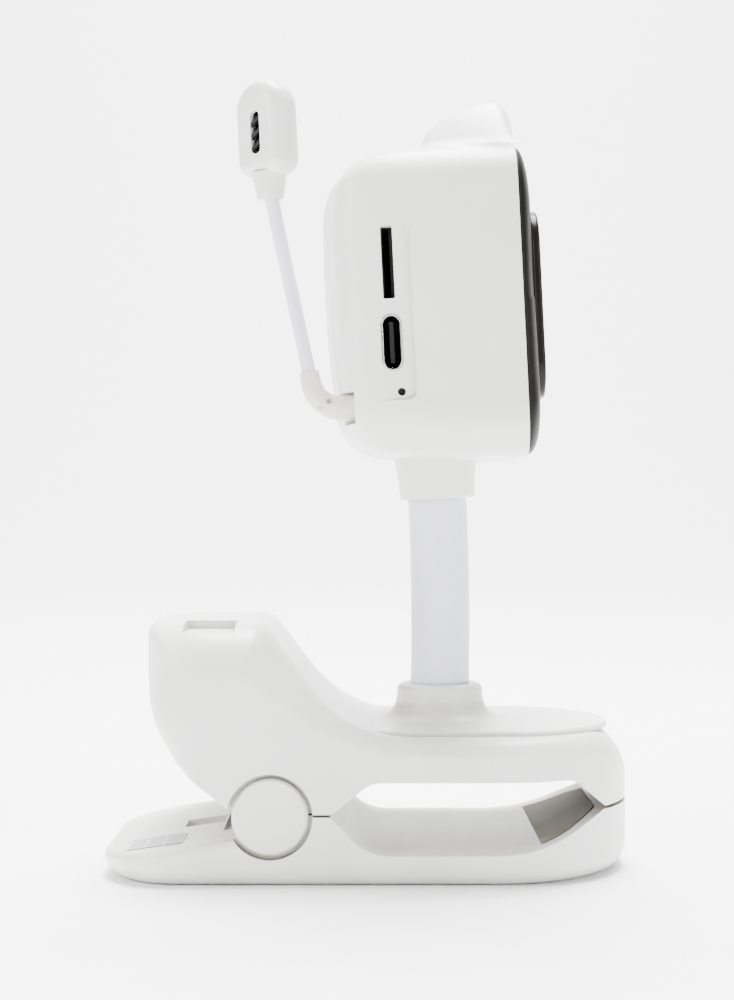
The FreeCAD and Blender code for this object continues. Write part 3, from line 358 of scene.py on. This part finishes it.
# ABS from a spark-eroded mould: warm white, satin, a very fine even grain.
abs_tints = ("#CFCECB", "#D5D4D2")
# its covered, upward faces, such as the floor of the mouth, carry painted shade in a warm dark grey
moulded_abs = moulded("moulded_abs", abs_tints, 0.38, 0.30, 0.010, coat=0.06, recess="#7A7268")
# Liquid silicone: cooler white, milky, dull sheen, picks up faint dust.
silicone = moulded("silicone_sleeve", ("#C9CAD3", "#D1D2DA"), 0.45, 0.22, 0.008, sheen=0.08, soft=0.08)
# Soft thermoplastic rubber of the strain relief: cream and dull.
relief_rubber = moulded("relief_rubber", ("#C4C1B7", "#CCC9C0"), 0.5, 0.35, 0.012, sheen=0.05)
# Polycarbonate front, smoked black-brown, finely textured satin.
smoked_front = moulded("smoked_polycarbonate", ("#0F0E0C", "#151412"), 0.46, 0.28, 0.008, shine=0.1)
# Polished acrylic plate that lets infrared through.
polished_black = moulded("polished_acrylic", ("#121110", "#171614"), 0.30, 0.9, 0.002, shine=0.12)
# Gripping pads: natural rubber, grey beige, matt and slightly dusty.
pad_rubber = moulded("pad_rubber", ("#69645B", "#777167"), 0.75, 0.5, 0.03, shine=0.25)
# Filled nylon of small electronic parts.
filled_nylon = moulded("filled_nylon", ("#0E0E0E", "#161616"), 0.6, 0.3, 0.02, shine=0.2)
# Clear epoxy of the night lamps.
lamp_epoxy = moulded("lamp_epoxy", ("#6E6C74", "#8A8890"), 0.18, 1.0, 0.002, coat=0.5)

# Drawn spring wire: dark grey, its die lines running along it.
drawn_wire = metal("drawn_spring_wire", ("#5F6063", "#7B7C80"), 0.34, 0.4, (1, 6, 1))
# Turned steel of the screws, pin, nut and links: mid grey with fine tool lines.
turned_steel = metal("turned_steel", ("#8C8E91", "#B1B3B6"), 0.30, 0.5, (1, 1, 5))
# Nickel-plated lip of the charging port, the brightest metal on the object.
plated_shell = metal("plated_shell", ("#A9ABAD", "#C9CBCC"), 0.24, 0.6, (1, 5, 1))
# Inside of the charging port: the same steel, painted dark as the shade deep in the port.
port_shade_steel = metal("painted_shade_port_steel", ("#121315", "#1C1D20"), 0.42, 0.9, (1, 5, 1))


def solder_mask():
    """Green board lacquer over a faint grid of copper tracks."""
    material, tree, shader, place = new_material("solder_mask")
    tracks = add_node(
        tree,
        "ShaderNodeTexBrick",
        {
            "Scale": 1 / (6.0 * MM),
            "Mortar Size": 0.03,
            "Color1": linear("#0F4A2C"),
            "Color2": linear("#0C3F26"),
            "Mortar": linear("#1B6A41"),
        },
        Vector=place,
    )
    tree.links.new(tracks.outputs["Color"], shader.inputs["Base Color"])
    shader.inputs["Roughness"].default_value = 0.3
    return material


def plain_label():
    """Matt paper with grey bands across it, and no writing."""
    material, tree, shader, place = new_material("blank_paper_label")
    bands = add_node(
        tree,
        "ShaderNodeTexBrick",
        {
            "Scale": 1 / (4.4 * MM),
            "Mortar Size": 0.055,
            "Brick Width": 1.4,
            "Row Height": 0.28,
            "Color1": linear("#77777A"),
            "Color2": linear("#909092"),
            "Mortar": linear("#E1E0DE"),
        },
        Vector=place,
    )
    fibre = noise(tree, place, 0.4)
    tree.links.new(bands.outputs["Color"], shader.inputs["Base Color"])
    tree.links.new(ranged(tree, fibre, 0.6, 0.8), shader.inputs["Roughness"])
    return material


def coated_lens():
    """Dark glass whose coating turns violet where it is seen edge on."""
    material, tree, shader, _ = new_material("coated_lens")
    edge = add_node(tree, "ShaderNodeLayerWeight", {"Blend": 0.35})
    bloom = tinted(tree, edge.outputs["Facing"], "#08080C", "#2A2440", 0.1, 0.9)
    tree.links.new(bloom, shader.inputs["Base Color"])
    shader.inputs["Roughness"].default_value = 0.10
    shader.inputs["IOR"].default_value = 1.5
    shader.inputs["Specular IOR Level"].default_value = 0.12
    return material


board_lacquer = solder_mask()
paper_label = plain_label()
lens_coating = coated_lens()

FINISH = {
    "shell_white": moulded_abs,
    "neck_silicone": silicone,
    "relief_rubber": relief_rubber,
    "panel_black": smoked_front,
    "visor_black": polished_black,
    "lens_glass": lens_coating,
    "lens_black": filled_nylon,
    "steel": turned_steel,
    "spring_steel": drawn_wire,
    "pad_rubber": pad_rubber,
    "board_green": board_lacquer,
    "component_black": filled_nylon,
    # the port's steel is the copy painted dark as shade
    "connector_steel": port_shade_steel,
    "label_paper": paper_label,
    "lamp_clear": lamp_epoxy,
}

for entry in frame["record"]["subparts"]:
    thing = NODES[entry["node"]]
    for material_slot in thing.material_slots:
        material_slot.material = FINISH[entry["material_slot"]]


# ------------------------------------------------------------------- gooseneck


def neck_line(distance):
    """Points on the neck's arc: its lean changes evenly from the boss to the collar."""
    distance = np.asarray(distance, dtype=float)
    steps = np.linspace(0, 1, 60)
    along = distance[:, None] * steps[None, :]
    share = np.clip(along, 0, NECK_LENGTH) / NECK_LENGTH
    lean = NECK_LEAN + (-HEAD_TILT - NECK_LEAN) * share
    x = BOSS_TOP[0] + np.trapz(np.sin(lean), along, axis=1)
    z = BOSS_TOP[2] + np.trapz(np.cos(lean), along, axis=1)
    return np.stack([x, 0 * x, z], axis=1)


def build_sleeve():
    """One silicone skin in runs, each laid over one joint of the neck."""
    low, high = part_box("neck_sleeve_1")
    radius = (high[1] - low[1]) / 2
    order = ("neck_pitch_low", "neck_side_low", "neck_pitch_high", "neck_side_high")
    heights = [JOINTS[name]["pos_m"][2] for name in order]
    stations = [height - BOSS_TOP[2] for height in heights]
    middles = [(a + b) / 2 for a, b in zip(stations, stations[1:])]
    # the sleeve runs on into the boss below and the collar above
    in_boss = 5 * MM
    in_collar = 5.5 * MM
    limits = [-in_boss] + middles + [NECK_LENGTH + in_collar]
    for i, name in enumerate(order):
        path = neck_line(np.linspace(limits[i], limits[i + 1], 40))
        piece = grid_piece(f"sleeve_run_{i + 1}", swept_tube(path, radius, 72), silicone)
        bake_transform(piece)
        stands_for = [f"neck_sleeve_{i + 1}"] + (["neck_sleeve_5"] if i == 3 else [])
        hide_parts(*stands_for)


# ------------------------------------------------------------------ sensor boom


def build_boom():
    """The boom's skin in two runs, each laid over one of its joints."""
    first = np.array(JOINTS["boom_pitch"]["pos_m"])
    second = np.array(JOINTS["boom_side"]["pos_m"])
    ahead = (second - first) / np.linalg.norm(second - first)
    radius = 1.15 * MM
    middle = (first + second) / 2
    below_first = 7.0 * MM
    above_second = 13.5 * MM
    foot = first - ahead * below_first
    top = second + ahead * above_second
    runs = (
        ("boom_run_low", foot, middle, first, "head", "boom", ("boom_root", "boom_middle")),
        ("boom_run_high", middle, top, second, "boom", "probe", ("boom_top",)),
    )
    for name, start, end, joint, below, above, stands_for in runs:
        path = start + np.linspace(0, 1, 44)[:, None] * (end - start)
        piece = grid_piece(name, swept_tube(path, radius, 32), silicone)
        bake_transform(piece)
        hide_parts(*stands_for)


# ------------------------------------------------------------------------ head

HEAD_HALF = 28.0 * MM
HEAD_REAR = -18.2 * MM
HEAD_FRONT = 14.3 * MM
HEAD_LOW = 5.6 * MM
HEAD_HIGH = 58.2 * MM
POCKET_FLOOR = -26.7 * MM
EAR_HIGH = 7.4 * MM
EAR_HALF = 8.6 * MM
EAR_MIDDLE = 15.5 * MM


def head_wall(points):
    """How far a point is outside the head: flat top, drafted bottom, crowned rear, bowed sides.

    Top and bottom turn into the rear on a large round and into the sides on a
    medium one; the rear meets the sides on a small one.
    """
    u, y, w = points[..., 0], points[..., 1], points[..., 2]
    draft = 0.085
    draft_from = 6 * MM
    crown_across = 105 * MM
    crown_up = 260 * MM
    crown_middle = 38 * MM
    side_bow = 44 * MM
    top = w - HEAD_HIGH
    bottom = HEAD_LOW + np.maximum(draft_from - u, 0) * draft - w
    crown = HEAD_REAR + y * y / (2 * crown_across) + (w - crown_middle) ** 2 / (2 * crown_up)
    rear = crown - u
    side = np.abs(y) - HEAD_HALF + np.maximum(1 * MM - u, 0) ** 2 / (2 * side_bow)
    tall = rounded_meeting(10.5 * MM, top, rear)
    low = rounded_meeting(8.0 * MM, bottom, rear)
    shoulders = rounded_meeting(9.0 * MM, side, top)
    hips = rounded_meeting(9.0 * MM, side, bottom)
    corners = rounded_meeting(3.2 * MM, side, rear)
    lengthways = np.maximum(tall, low)
    crosswise = np.maximum(shoulders, hips)
    whole = soft_larger(lengthways, crosswise, 2.4 * MM)
    body = soft_larger(whole, corners, 1.0 * MM)
    return -soft_larger(-body, -ear_wall(u, y, w), 1.6 * MM)


def ear_wall(u, y, w):
    """How far a point is above a cat ear, a rounded fin whose ridge climbs forward.

    The ridge rises as a curve to a tip just behind the front rim and turns down
    on a round there; across, the fin falls away evenly to both sides.
    """
    tip = 11.7 * MM
    foot = -2.2 * MM
    turn_down = 2.75 * MM
    ridge_round = 1.1 * MM
    root = 7 * MM
    climb = np.clip((u - foot) / (tip - foot), 0, 1)
    behind = (1 - (1 - climb) ** 2) ** 0.9
    ahead = np.clip((u - tip) / turn_down, 0, 1)
    ridge = EAR_HIGH * np.where(u < tip, behind, (1 - 0.8 * ahead**2) ** 0.4)
    half = EAR_HALF * (0.35 + 0.65 * np.sqrt(climb))
    across = np.sqrt((np.abs(y) - EAR_MIDDLE) ** 2 + ridge_round**2) - ridge_round
    sunk = 2.4 * MM
    start = np.clip(climb * 5, 0, 1)
    roof = HEAD_HIGH - sunk + (ridge + sunk * start) * (1 - (across / half) ** 1.25)
    beside = np.abs(np.abs(y) - EAR_MIDDLE) - half
    above = np.maximum.reduce([(w - roof) * 0.7, HEAD_HIGH - root - w, beside])
    return np.where(climb > 0, above, 1.0)


def build_head_shell():
    """Rays from inside the head: a fan over the rear, then level rings to the front rim."""
    around = np.linspace(0, 2 * math.pi, 480, endpoint=False)
    fan = np.linspace(0.004, math.pi / 2, 64)
    hub = np.array([-5.0, 0.0, 31.8]) * MM
    side = np.stack([0 * around, np.cos(around), np.sin(around)], axis=-1)
    rear = np.array([-1.0, 0.0, 0.0])
    fan_rays = np.cos(fan)[:, None, None] * rear + np.sin(fan)[:, None, None] * side[None]
    fan_hits = cast(head_wall, hub, fan_rays, 60 * MM)
    depth = np.linspace(-4.4 * MM, HEAD_FRONT, 60)
    hubs = np.stack([depth, 0 * depth, np.full_like(depth, hub[2])], axis=-1)[:, None, :]
    rings = cast(head_wall, hubs, np.broadcast_to(side, (len(depth), *side.shape)), 60 * MM)
    grid = head_place(np.concatenate([fan_hits, rings]))
    shell = grid_piece("head_skin", grid, moulded_abs, start_cap=True, end_cap=True)
    port = head_inverse(node_middle("charge_port"))
    card = head_inverse(node_middle("card_socket"))
    reset = head_inverse(node_middle("reset_button"))
    out = -HEAD_HALF - 3 * MM
    deep = -HEAD_HALF + 9 * MM
    pocket_low, pocket_high = 16.2 * MM, 44.6 * MM
    pocket_front = -3.45 * MM
    pocket_half = 4.6 * MM
    card_centre = (card[0] + 0.1 * MM, card[2])
    card_deep = -HEAD_HALF + 17 * MM
    slot_low = (-30 * MM, -40 * MM, 12.9 * MM)
    slot_high = (-13.6 * MM, -16.3 * MM, 18.1 * MM)
    cutters = [
        stadium(
            "pocket",
            (pocket_front - pocket_half, (pocket_low + pocket_high) / 2),
            pocket_half,
            (pocket_high - pocket_low) / 2,
            out,
            POCKET_FLOOR,
            1.5 * MM,
        ),
        stadium("port_hole", (port[0], port[2]), 1.72 * MM, 4.6 * MM, out, deep, 1.7 * MM),
        stadium("card_hole", card_centre, 0.95 * MM, 5.85 * MM, out, card_deep, 0.25 * MM),
        stadium("reset_hole", (reset[0], reset[2]), 0.65 * MM, 0.65 * MM, out, deep, 0.64 * MM),
        block("boom_slot", slot_low, slot_high),
    ]
    carve(shell, cutters)
    soften_by_angle(shell, 32)
    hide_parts("head_shell", "ear_near", "ear_far")
    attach(shell, "head")
    build_collar()
    build_speaker_hole_shade()
    build_front()
    build_window_plate()
    build_port_rim(port)


def rounded_frame(half_y, half_w, corner, count):
    """Points (y, w) round a rectangle with round corners, evenly spaced, about the origin."""
    turn = np.linspace(0, 2 * math.pi, 4 * 60, endpoint=False) + 1e-6
    y = np.sign(np.cos(turn)) * (half_y - corner) + corner * np.cos(turn)
    w = np.sign(np.sin(turn)) * (half_w - corner) + corner * np.sin(turn)
    return even_loop(np.stack([y, w], axis=1), count)


def build_front():
    """The black front: rings from its rim inwards, on a soft dome.

    The dome's height over the rim is a quarter ellipse of the distance from
    the edge.  A smaller plug behind it is sunk into the shell.
    """
    count = 360
    middle = (HEAD_LOW + HEAD_HIGH) / 2
    rim = rounded_frame(HEAD_HALF - 0.8 * MM, (HEAD_HIGH - HEAD_LOW) / 2 - 1.0 * MM, 8.4 * MM, count)
    inner = rounded_frame(16 * MM, 12 * MM, 4 * MM, count)
    share = 1 - np.cos(np.linspace(0, math.pi / 2, 40))
    flat = rim + share[:, None, None] * (inner - rim)
    away = np.linalg.norm(flat - rim, axis=-1)
    rise = 2.3 * MM
    reach = np.where(flat[..., 1] > 0, 9.0, 7.0) * MM
    height = rise * np.sqrt(1 - (1 - np.minimum(away / reach, 1)) ** 2)
    plate = np.stack([HEAD_FRONT + 0.1 * MM + height, flat[..., 0], flat[..., 1] + middle], axis=-1)
    plug = 0.93
    back = plate[:1] * [0, 1, 1] + [HEAD_FRONT - 1.5 * MM, 0, 0]
    lap = back * [0, plug, 1] + [HEAD_FRONT + 0.1 * MM, 0, 0]
    step = np.concatenate([back * [1, plug, 1], lap, plate])
    hub = step[:2, :, 2:] - middle
    step[:2, :, 2:] = middle + hub * plug
    piece = grid_piece("front_dome", head_place(step), smoked_front, start_cap=True, end_cap=True)
    soften_by_angle(piece, 50)
    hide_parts("front_panel")
    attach(piece, "head")


def build_window_plate():
    """The raised plate round the lens: rings from its round hole out to its square edge.

    Its edge turns over on a small round, and meets the dome on a hollow flare.
    """
    count = 360
    lens = head_inverse(node_middle("lens_glass"))
    edge = rounded_frame(20 * MM, 15.6 * MM, 6 * MM, count)
    turn = np.arctan2(edge[:, 1], edge[:, 0])
    hole = 6.0 * MM * np.stack([np.cos(turn), np.sin(turn)], axis=1)
    lip = hole * 1.07
    outward = edge / np.linalg.norm(edge, axis=1)[:, None]
    base = HEAD_FRONT + 2.35 * MM
    top = 1.5 * MM
    edge_round = 0.5
    flare = 0.9 * MM
    under = -0.3 * MM
    behind = -2.0 * MM
    rows = [(hole, behind), (hole, top - 0.25 * MM), (hole * 1.03, top - 0.05 * MM), (lip, top)]
    rows += [(lip + share * (edge - lip), top) for share in np.linspace(0.1, 0.9, 12)]
    bow = np.linspace(0, math.pi / 2, 8)
    for angle in bow:
        out = (edge_round * np.sin(angle) - edge_round) * MM
        rows.append((edge + outward * out, top - edge_round * MM * (1 - math.cos(angle))))
    for angle in bow:
        out = flare * (1 - math.cos(angle))
        rows.append((edge + outward * out, edge_round * MM * (1 - math.sin(angle)) - 0.05 * MM))
    rows += [(edge + outward * flare, under), (edge - outward * 2 * MM, under), (hole, behind)]
    grid = []
    for flat, height in rows:
        depth = np.full(count, base + height)
        grid.append(np.stack([depth, flat[:, 0], flat[:, 1] + lens[2]], axis=1))
    piece = grid_piece("window_plate", head_place(np.stack(grid)), polished_black)
    soften_by_angle(piece, 40)
    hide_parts("lens_visor")
    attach(piece, "head")


def build_port_rim(port):
    """The bright rolled lip of the charging port's shell."""
    turn = np.linspace(0, 2 * math.pi, 120, endpoint=False)
    straight = 2.9 * MM
    u = port[0] + 1.5 * MM * np.cos(turn)
    w = port[2] + np.sign(np.sin(turn)) * straight + 1.5 * MM * np.sin(turn)
    line = even_loop(np.stack([u, w], axis=1), 160)
    centre = np.array([port[0], port[2]])
    spread = line - centre
    spread[:, 1] -= np.clip(spread[:, 1], -straight, straight)
    spread /= np.linalg.norm(spread, axis=1)[:, None]
    around = np.linspace(0, 2 * math.pi, 12, endpoint=False)
    thick = 0.16 * MM
    ring = line[None] + thick * np.cos(around)[:, None, None] * spread[None]
    y = np.broadcast_to(POCKET_FLOOR + thick * np.sin(around)[:, None], ring.shape[:2])
    grid = np.stack([ring[..., 0], y, ring[..., 1]], axis=-1)
    grid = np.concatenate([grid, grid[:1]])
    piece = grid_piece("port_rim", head_place(grid), plated_shell)
    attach(piece, "head")


def build_collar():
    """The flared socket under the head that the gooseneck runs into."""
    height = np.linspace(0, 1, 24)
    flare = 6.55 + 0.5 * height + 0.7 * height**3
    wall = [(radius * MM, (0.5 + 8.6 * share) * MM) for radius, share in zip(flare, height)]
    lip = [(5.12, 3.0), (5.12, 0.35), (5.4, 0.0), (6.2, 0.0), (6.48, 0.2)]
    lip = [(radius * MM, high * MM) for radius, high in lip]
    piece = grid_piece("neck_collar", head_place(turned(lip + wall)), moulded_abs)
    soften_by_angle(piece, 50)
    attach(piece, "head")


def build_speaker_hole_shade():
    """Flat dark discs just proud of the rear face, in a round field, one for each hole: painted shade
    standing in for the hollows of the speaker holes.
    """
    pitch = 3.0 * MM
    radius = 0.6 * MM
    proud = 0.02 * MM
    turn = np.linspace(0, 2 * math.pi, 20, endpoint=False)
    points = []
    faces = []
    for across in range(-2, 3):
        for up in range(-2, 3):
            if across * across + up * up >= 6:
                continue
            y = across * pitch
            w = 24 * MM + up * pitch
            ray = np.array([[-1.0, 0.0, 0.0]])
            hit = cast(head_wall, np.array([0.0, y, w]), ray, 40 * MM)[0]
            depth = np.full_like(turn, hit[0] - proud)
            ring = np.stack([depth, y + radius * np.cos(turn), w + radius * np.sin(turn)], axis=-1)
            first = len(points) * len(turn)
            points.append(ring)
            faces.append(list(range(first, first + len(turn))))
    # painted shade: dark discs in place of the holes' hollows
    piece = make_piece("speaker_hole_shade", head_place(np.concatenate(points)), faces, filled_nylon)
    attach(piece, "head")


# ------------------------------------------------------------------- upper jaw

JAW_HALF = 23.5 * MM
JAW_TIP = 44.7 * MM
JAW_REAR = -37.6 * MM
# Seen from above, the plan's own rear lies this far behind the side outline's.
PLAN_BEHIND = 9 * MM
PLAN_CORNER = 22 * MM
PIVOT = np.array(JOINTS["jaw_open"]["pos_m"])


def rounded_outline(corners, steps=14):
    """A closed polyline through corners (a, b, radius), each turned on an arc."""
    corners = np.array(corners) * MM
    points = []
    for i, (a, b, radius) in enumerate(corners):
        here = np.array([a, b])
        back = corners[i - 1][:2] - here
        ahead = corners[(i + 1) % len(corners)][:2] - here
        back /= np.linalg.norm(back)
        ahead /= np.linalg.norm(ahead)
        if radius == 0:
            points.append(here[None, :])
            continue
        half = math.acos(np.clip(back @ ahead, -1, 1)) / 2
        middle = (back + ahead) / np.linalg.norm(back + ahead)
        centre = here + middle * radius / math.sin(half)
        first = here + back * radius / math.tan(half) - centre
        last = here + ahead * radius / math.tan(half) - centre
        share = np.linspace(0, 1, steps)[:, None]
        turn = math.pi / 2 - half
        whole = 2 * turn
        bow = np.sin((1 - share) * whole) * first + np.sin(share * whole) * last
        points.append(centre + bow / math.sin(whole))
    return np.concatenate(points)


def even_loop(points, count):
    """A closed polyline walked in even steps."""
    closed = np.concatenate([points, points[:1]])
    walked = np.concatenate([[0], np.cumsum(np.linalg.norm(np.diff(closed, axis=0), axis=1))])
    stops = np.linspace(0, walked[-1], count, endpoint=False)
    return np.stack([np.interp(stops, walked, closed[:, i]) for i in range(2)], axis=1)


JAW_SIDE = rounded_outline(
    [
        (44.7, 11.9, 0.01),
        (44.7, 24.2, 8.0),
        (-3.6, 24.2, 21.0),
        (-17.4, 42.7, 4.0),
        (-37.6, 42.7, 2.4),
        (-37.6, 24.0, 25.0),
        (-22.4, 12.4, 0.8),
        (-21.0, 11.9, 0.01),
    ],
    40,
)


def outline_wall(x, z, outline):
    """Distance to a closed outline, negative inside it."""
    ahead = np.roll(outline, -1, axis=0) - outline
    length = np.maximum(np.einsum("ij,ij->i", ahead, ahead), 1e-18)
    nearest = np.full(x.shape, 1.0)
    inside = np.zeros(x.shape, dtype=bool)
    for (ox, oz), (ax, az), size in zip(outline, ahead, length):
        dx, dz = x - ox, z - oz
        share = np.clip((dx * ax + dz * az) / size, 0, 1)
        nearest = np.minimum(nearest, (dx - share * ax) ** 2 + (dz - share * az) ** 2)
        crossing = (oz > z) != (oz + az > z)
        if az != 0:
            inside ^= crossing & (dx < ax * dz / az)
    return np.where(inside, -1.0, 1.0) * np.sqrt(nearest)


def jaw_table():
    """Distances to the side outline on a fine grid, looked up later by blending."""
    across = np.arange(-60, 62, 0.4) * MM
    up = np.arange(-10, 60, 0.4) * MM
    x, z = np.meshgrid(across, up, indexing="ij")
    return across, up, outline_wall(x, z, JAW_SIDE)


JAW_ACROSS, JAW_UP, JAW_TABLE = jaw_table()


def jaw_side_wall(x, z):
    """The side outline's distance at any point, blended between the four nearest grid points."""
    step = JAW_ACROSS[1] - JAW_ACROSS[0]
    i = (x - JAW_ACROSS[0]) / step
    j = (z - JAW_UP[0]) / step
    i0 = np.clip(np.floor(i).astype(int), 0, len(JAW_ACROSS) - 2)
    j0 = np.clip(np.floor(j).astype(int), 0, len(JAW_UP) - 2)
    fi = np.clip(i - i0, 0, 1)
    fj = np.clip(j - j0, 0, 1)
    low = JAW_TABLE[i0, j0] * (1 - fi) + JAW_TABLE[i0 + 1, j0] * fi
    high = JAW_TABLE[i0, j0 + 1] * (1 - fi) + JAW_TABLE[i0 + 1, j0 + 1] * fi
    return low * (1 - fj) + high * fj


def plan_wall(x, y):
    """Distance to the clamp seen from above: round corners behind, a half circle in front."""
    nose = np.hypot(np.maximum(x - (JAW_TIP - JAW_HALF), 0), y) - JAW_HALF
    back = JAW_REAR - PLAN_BEHIND - x
    return np.maximum(nose, rounded_meeting(PLAN_CORNER, np.abs(y) - JAW_HALF, back))


def jaw_wall(points):
    """Upper jaw: side outline met by plan outline, on a large round over the handle."""
    x, y, z = points[..., 0], points[..., 1], points[..., 2]
    mouth_top = 17 * MM
    mouth_blend = 5 * MM
    handle_foot = 24.5 * MM
    handle_blend = 12 * MM
    share = np.clip((z - handle_foot) / handle_blend, 0, 1)
    share = share * share * (3 - 2 * share)
    high = np.clip((z - mouth_top) / mouth_blend, 0, 1)
    # nearly sharp beside the mouth, fuller on the body, fullest on the handle
    radius = (0.5 + 2.9 * high + 5.2 * share) * MM
    return rounded_meeting(radius, jaw_side_wall(x, z), plan_wall(x, y))


def build_upper_jaw():
    """Rays from inside the jaw through a cage of its unrounded form."""
    columns = 560
    loop = even_loop(JAW_SIDE, columns)
    hub = np.array([-14.0, 0.0, 18.0]) * MM

    def half_width(x):
        """Half of the plan's width at each x."""
        front = np.sqrt(np.maximum(JAW_HALF**2 - np.maximum(x - (JAW_TIP - JAW_HALF), 0) ** 2, 0))
        short = np.maximum(JAW_REAR - PLAN_BEHIND + PLAN_CORNER - x, 0)
        rear = JAW_HALF - PLAN_CORNER + np.sqrt(np.maximum(PLAN_CORNER**2 - short**2, 0))
        return np.minimum(front, rear)

    shrink = np.concatenate([np.linspace(0.02, 0.86, 22), np.linspace(0.88, 1.0, 16)])
    across = np.sin(np.linspace(-0.5, 0.5, 64) * math.pi)[1:-1]
    x = hub[0] + shrink[:, None] * (loop[:, 0] - hub[0])
    z = hub[2] + shrink[:, None] * (loop[:, 1] - hub[2])
    near = np.stack([x, -half_width(x), z], axis=-1)
    middle = np.stack(
        [
            np.repeat(loop[None, :, 0], len(across), 0),
            across[:, None] * half_width(loop[:, 0]),
            np.repeat(loop[None, :, 1], len(across), 0),
        ],
        axis=-1,
    )
    far = near[::-1] * [1, -1, 1]
    cage = np.concatenate([near, middle, far])
    rays = cage - hub
    rays /= np.maximum(np.linalg.norm(rays, axis=-1, keepdims=True), 1e-9)
    grid = cast(jaw_wall, hub, rays, 90 * MM)
    jaw = grid_piece("upper_jaw_skin", grid, moulded_abs, start_cap=True, end_cap=True)
    mouth = [
        (-6.2, 9.0, 0),
        (-6.2, 11.9, 1.0),
        (0.4, 17.2, 5.0),
        (33.8, 17.2, 3.5),
        (39.8, 11.9, 0.01),
        (39.8, 9.0, 0),
    ]
    reach = 5.75 * MM
    recess = 7.0 * MM
    spring_half = 5.0 * MM
    knuckle_out = 12.0 * MM
    cap_inside = 21.1 * MM
    outside = 30 * MM
    cutters = [across_prism("mouth", rounded_outline(mouth), -2 * outside, 2 * outside)]
    for side in (-1, 1):
        cutters.append(across_rod(f"cap_room_{side}", recess, side * cap_inside, side * outside))
        cutters.append(across_rod(f"knuckle_room_{side}", reach, side * knuckle_out, side * 22 * MM))
    cutters.append(across_rod("spring_room", reach, -spring_half, spring_half))
    notch = np.array([[-30.8, 41.3], [-22.1, 41.3], [-22.1, 46.0], [-30.8, 46.0]]) * MM
    cutters.append(across_prism("notch", notch, -outside, -9 * MM))
    carve(jaw, cutters)
    soften_by_angle(jaw, 32)
    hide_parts("upper_jaw")
    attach(jaw, "jaw")
    for side in (-1, 1):
        name = f"jaw_knuckle_{side + 2}"
        knuckle = across_rod(name, 5.4 * MM, side * spring_half, side * 11.9 * MM)
        soften_by_angle(knuckle, 40)
        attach(knuckle, "jaw")


def across_prism(name, outline, near, far):
    """An outline in (x, z) reaching across y."""
    count = len(outline)
    rows = [np.stack([outline[:, 0], np.full(count, y), outline[:, 1]], axis=-1) for y in (near, far)]
    return grid_piece(name, np.stack(rows), moulded_abs, start_cap=True, end_cap=True)


def across_rod(name, radius, near, far):
    """A rod about the hinge axis."""
    turn = np.linspace(0, 2 * math.pi, 96, endpoint=False)
    outline = np.stack([PIVOT[0] + radius * np.cos(turn), PIVOT[2] + radius * np.sin(turn)], axis=-1)
    return across_prism(name, outline, near, far)


# ------------------------------------------------------------- room and camera


def build_room():
    """A pale paper sweep that curves up behind, under broad soft lights."""
    paper = moulded("matt_paper_sweep", ("#F7F7F7", "#F9F9F9"), 0.8, 2.0, 0.02, shine=0.1)
    turn = np.linspace(0, math.pi / 2, 40)
    bend = 0.9
    back = 1.1
    line = np.concatenate(
        [
            [[-2.2, 0.0]],
            np.stack([back + bend * np.sin(turn), bend * (1 - np.cos(turn))], axis=1),
            [[back + bend, 3.2]],
        ]
    )
    edges = [np.stack([np.full(len(line), x), line[:, 0], line[:, 1]], axis=1) for x in (-3.5, 3.5)]
    grid = np.stack(edges)
    sweep = grid_piece("paper_sweep", grid, paper, wrap=False)
    world = bpy.data.worlds.new("soft_room")
    world.use_nodes = True
    sky = world.node_tree.nodes["Background"]
    sky.inputs["Color"].default_value = linear("#F6F7FA")
    sky.inputs["Strength"].default_value = 0.20
    bpy.context.scene.world = world
    lamps = (
        ("top_light", (0.05, 0.1, 0.8), 0.40, 34.0, (0.0, 0.0, 0.05)),
        ("left_light", (-0.75, -0.45, 0.45), 0.45, 13.0, (0.0, 0.0, 0.06)),
        ("right_light", (0.7, -0.75, 0.35), 0.45, 8.0, (0.0, 0.0, 0.06)),
        ("sweep_light", (0.0, 0.85, 1.6), 1.4, 150.0, (0.0, 1.9, 0.35)),
    )
    for name, at, size, power, aim in lamps:
        data = bpy.data.lights.new(name, "AREA")
        data.size = size
        data.energy = power
        lamp = bpy.data.objects.new(name, data)
        bpy.context.scene.collection.objects.link(lamp)
        lamp.location = at
        away = np.array(at) - np.array(aim)
        lamp.rotation_euler = (
            math.atan2(math.hypot(away[0], away[1]), away[2]),
            0.0,
            math.atan2(away[0], -away[1]),
        )


def build_camera():
    """A level camera square to the port side, a third of a metre away."""
    data = bpy.data.cameras.new("camera")
    data.sensor_fit = "VERTICAL"
    data.sensor_height = 36.0
    data.lens = 65.3
    camera = bpy.data.objects.new("camera", data)
    bpy.context.scene.collection.objects.link(camera)
    camera.location = (-0.26 * MM, -318 * MM, 63.2 * MM)
    camera.rotation_euler = (math.pi / 2, 0.0, 0.0)
    data.clip_start = 0.01
    bpy.context.scene.camera = camera


build_sleeve()
build_boom()
build_head_shell()
build_upper_jaw()
build_room()
build_camera()
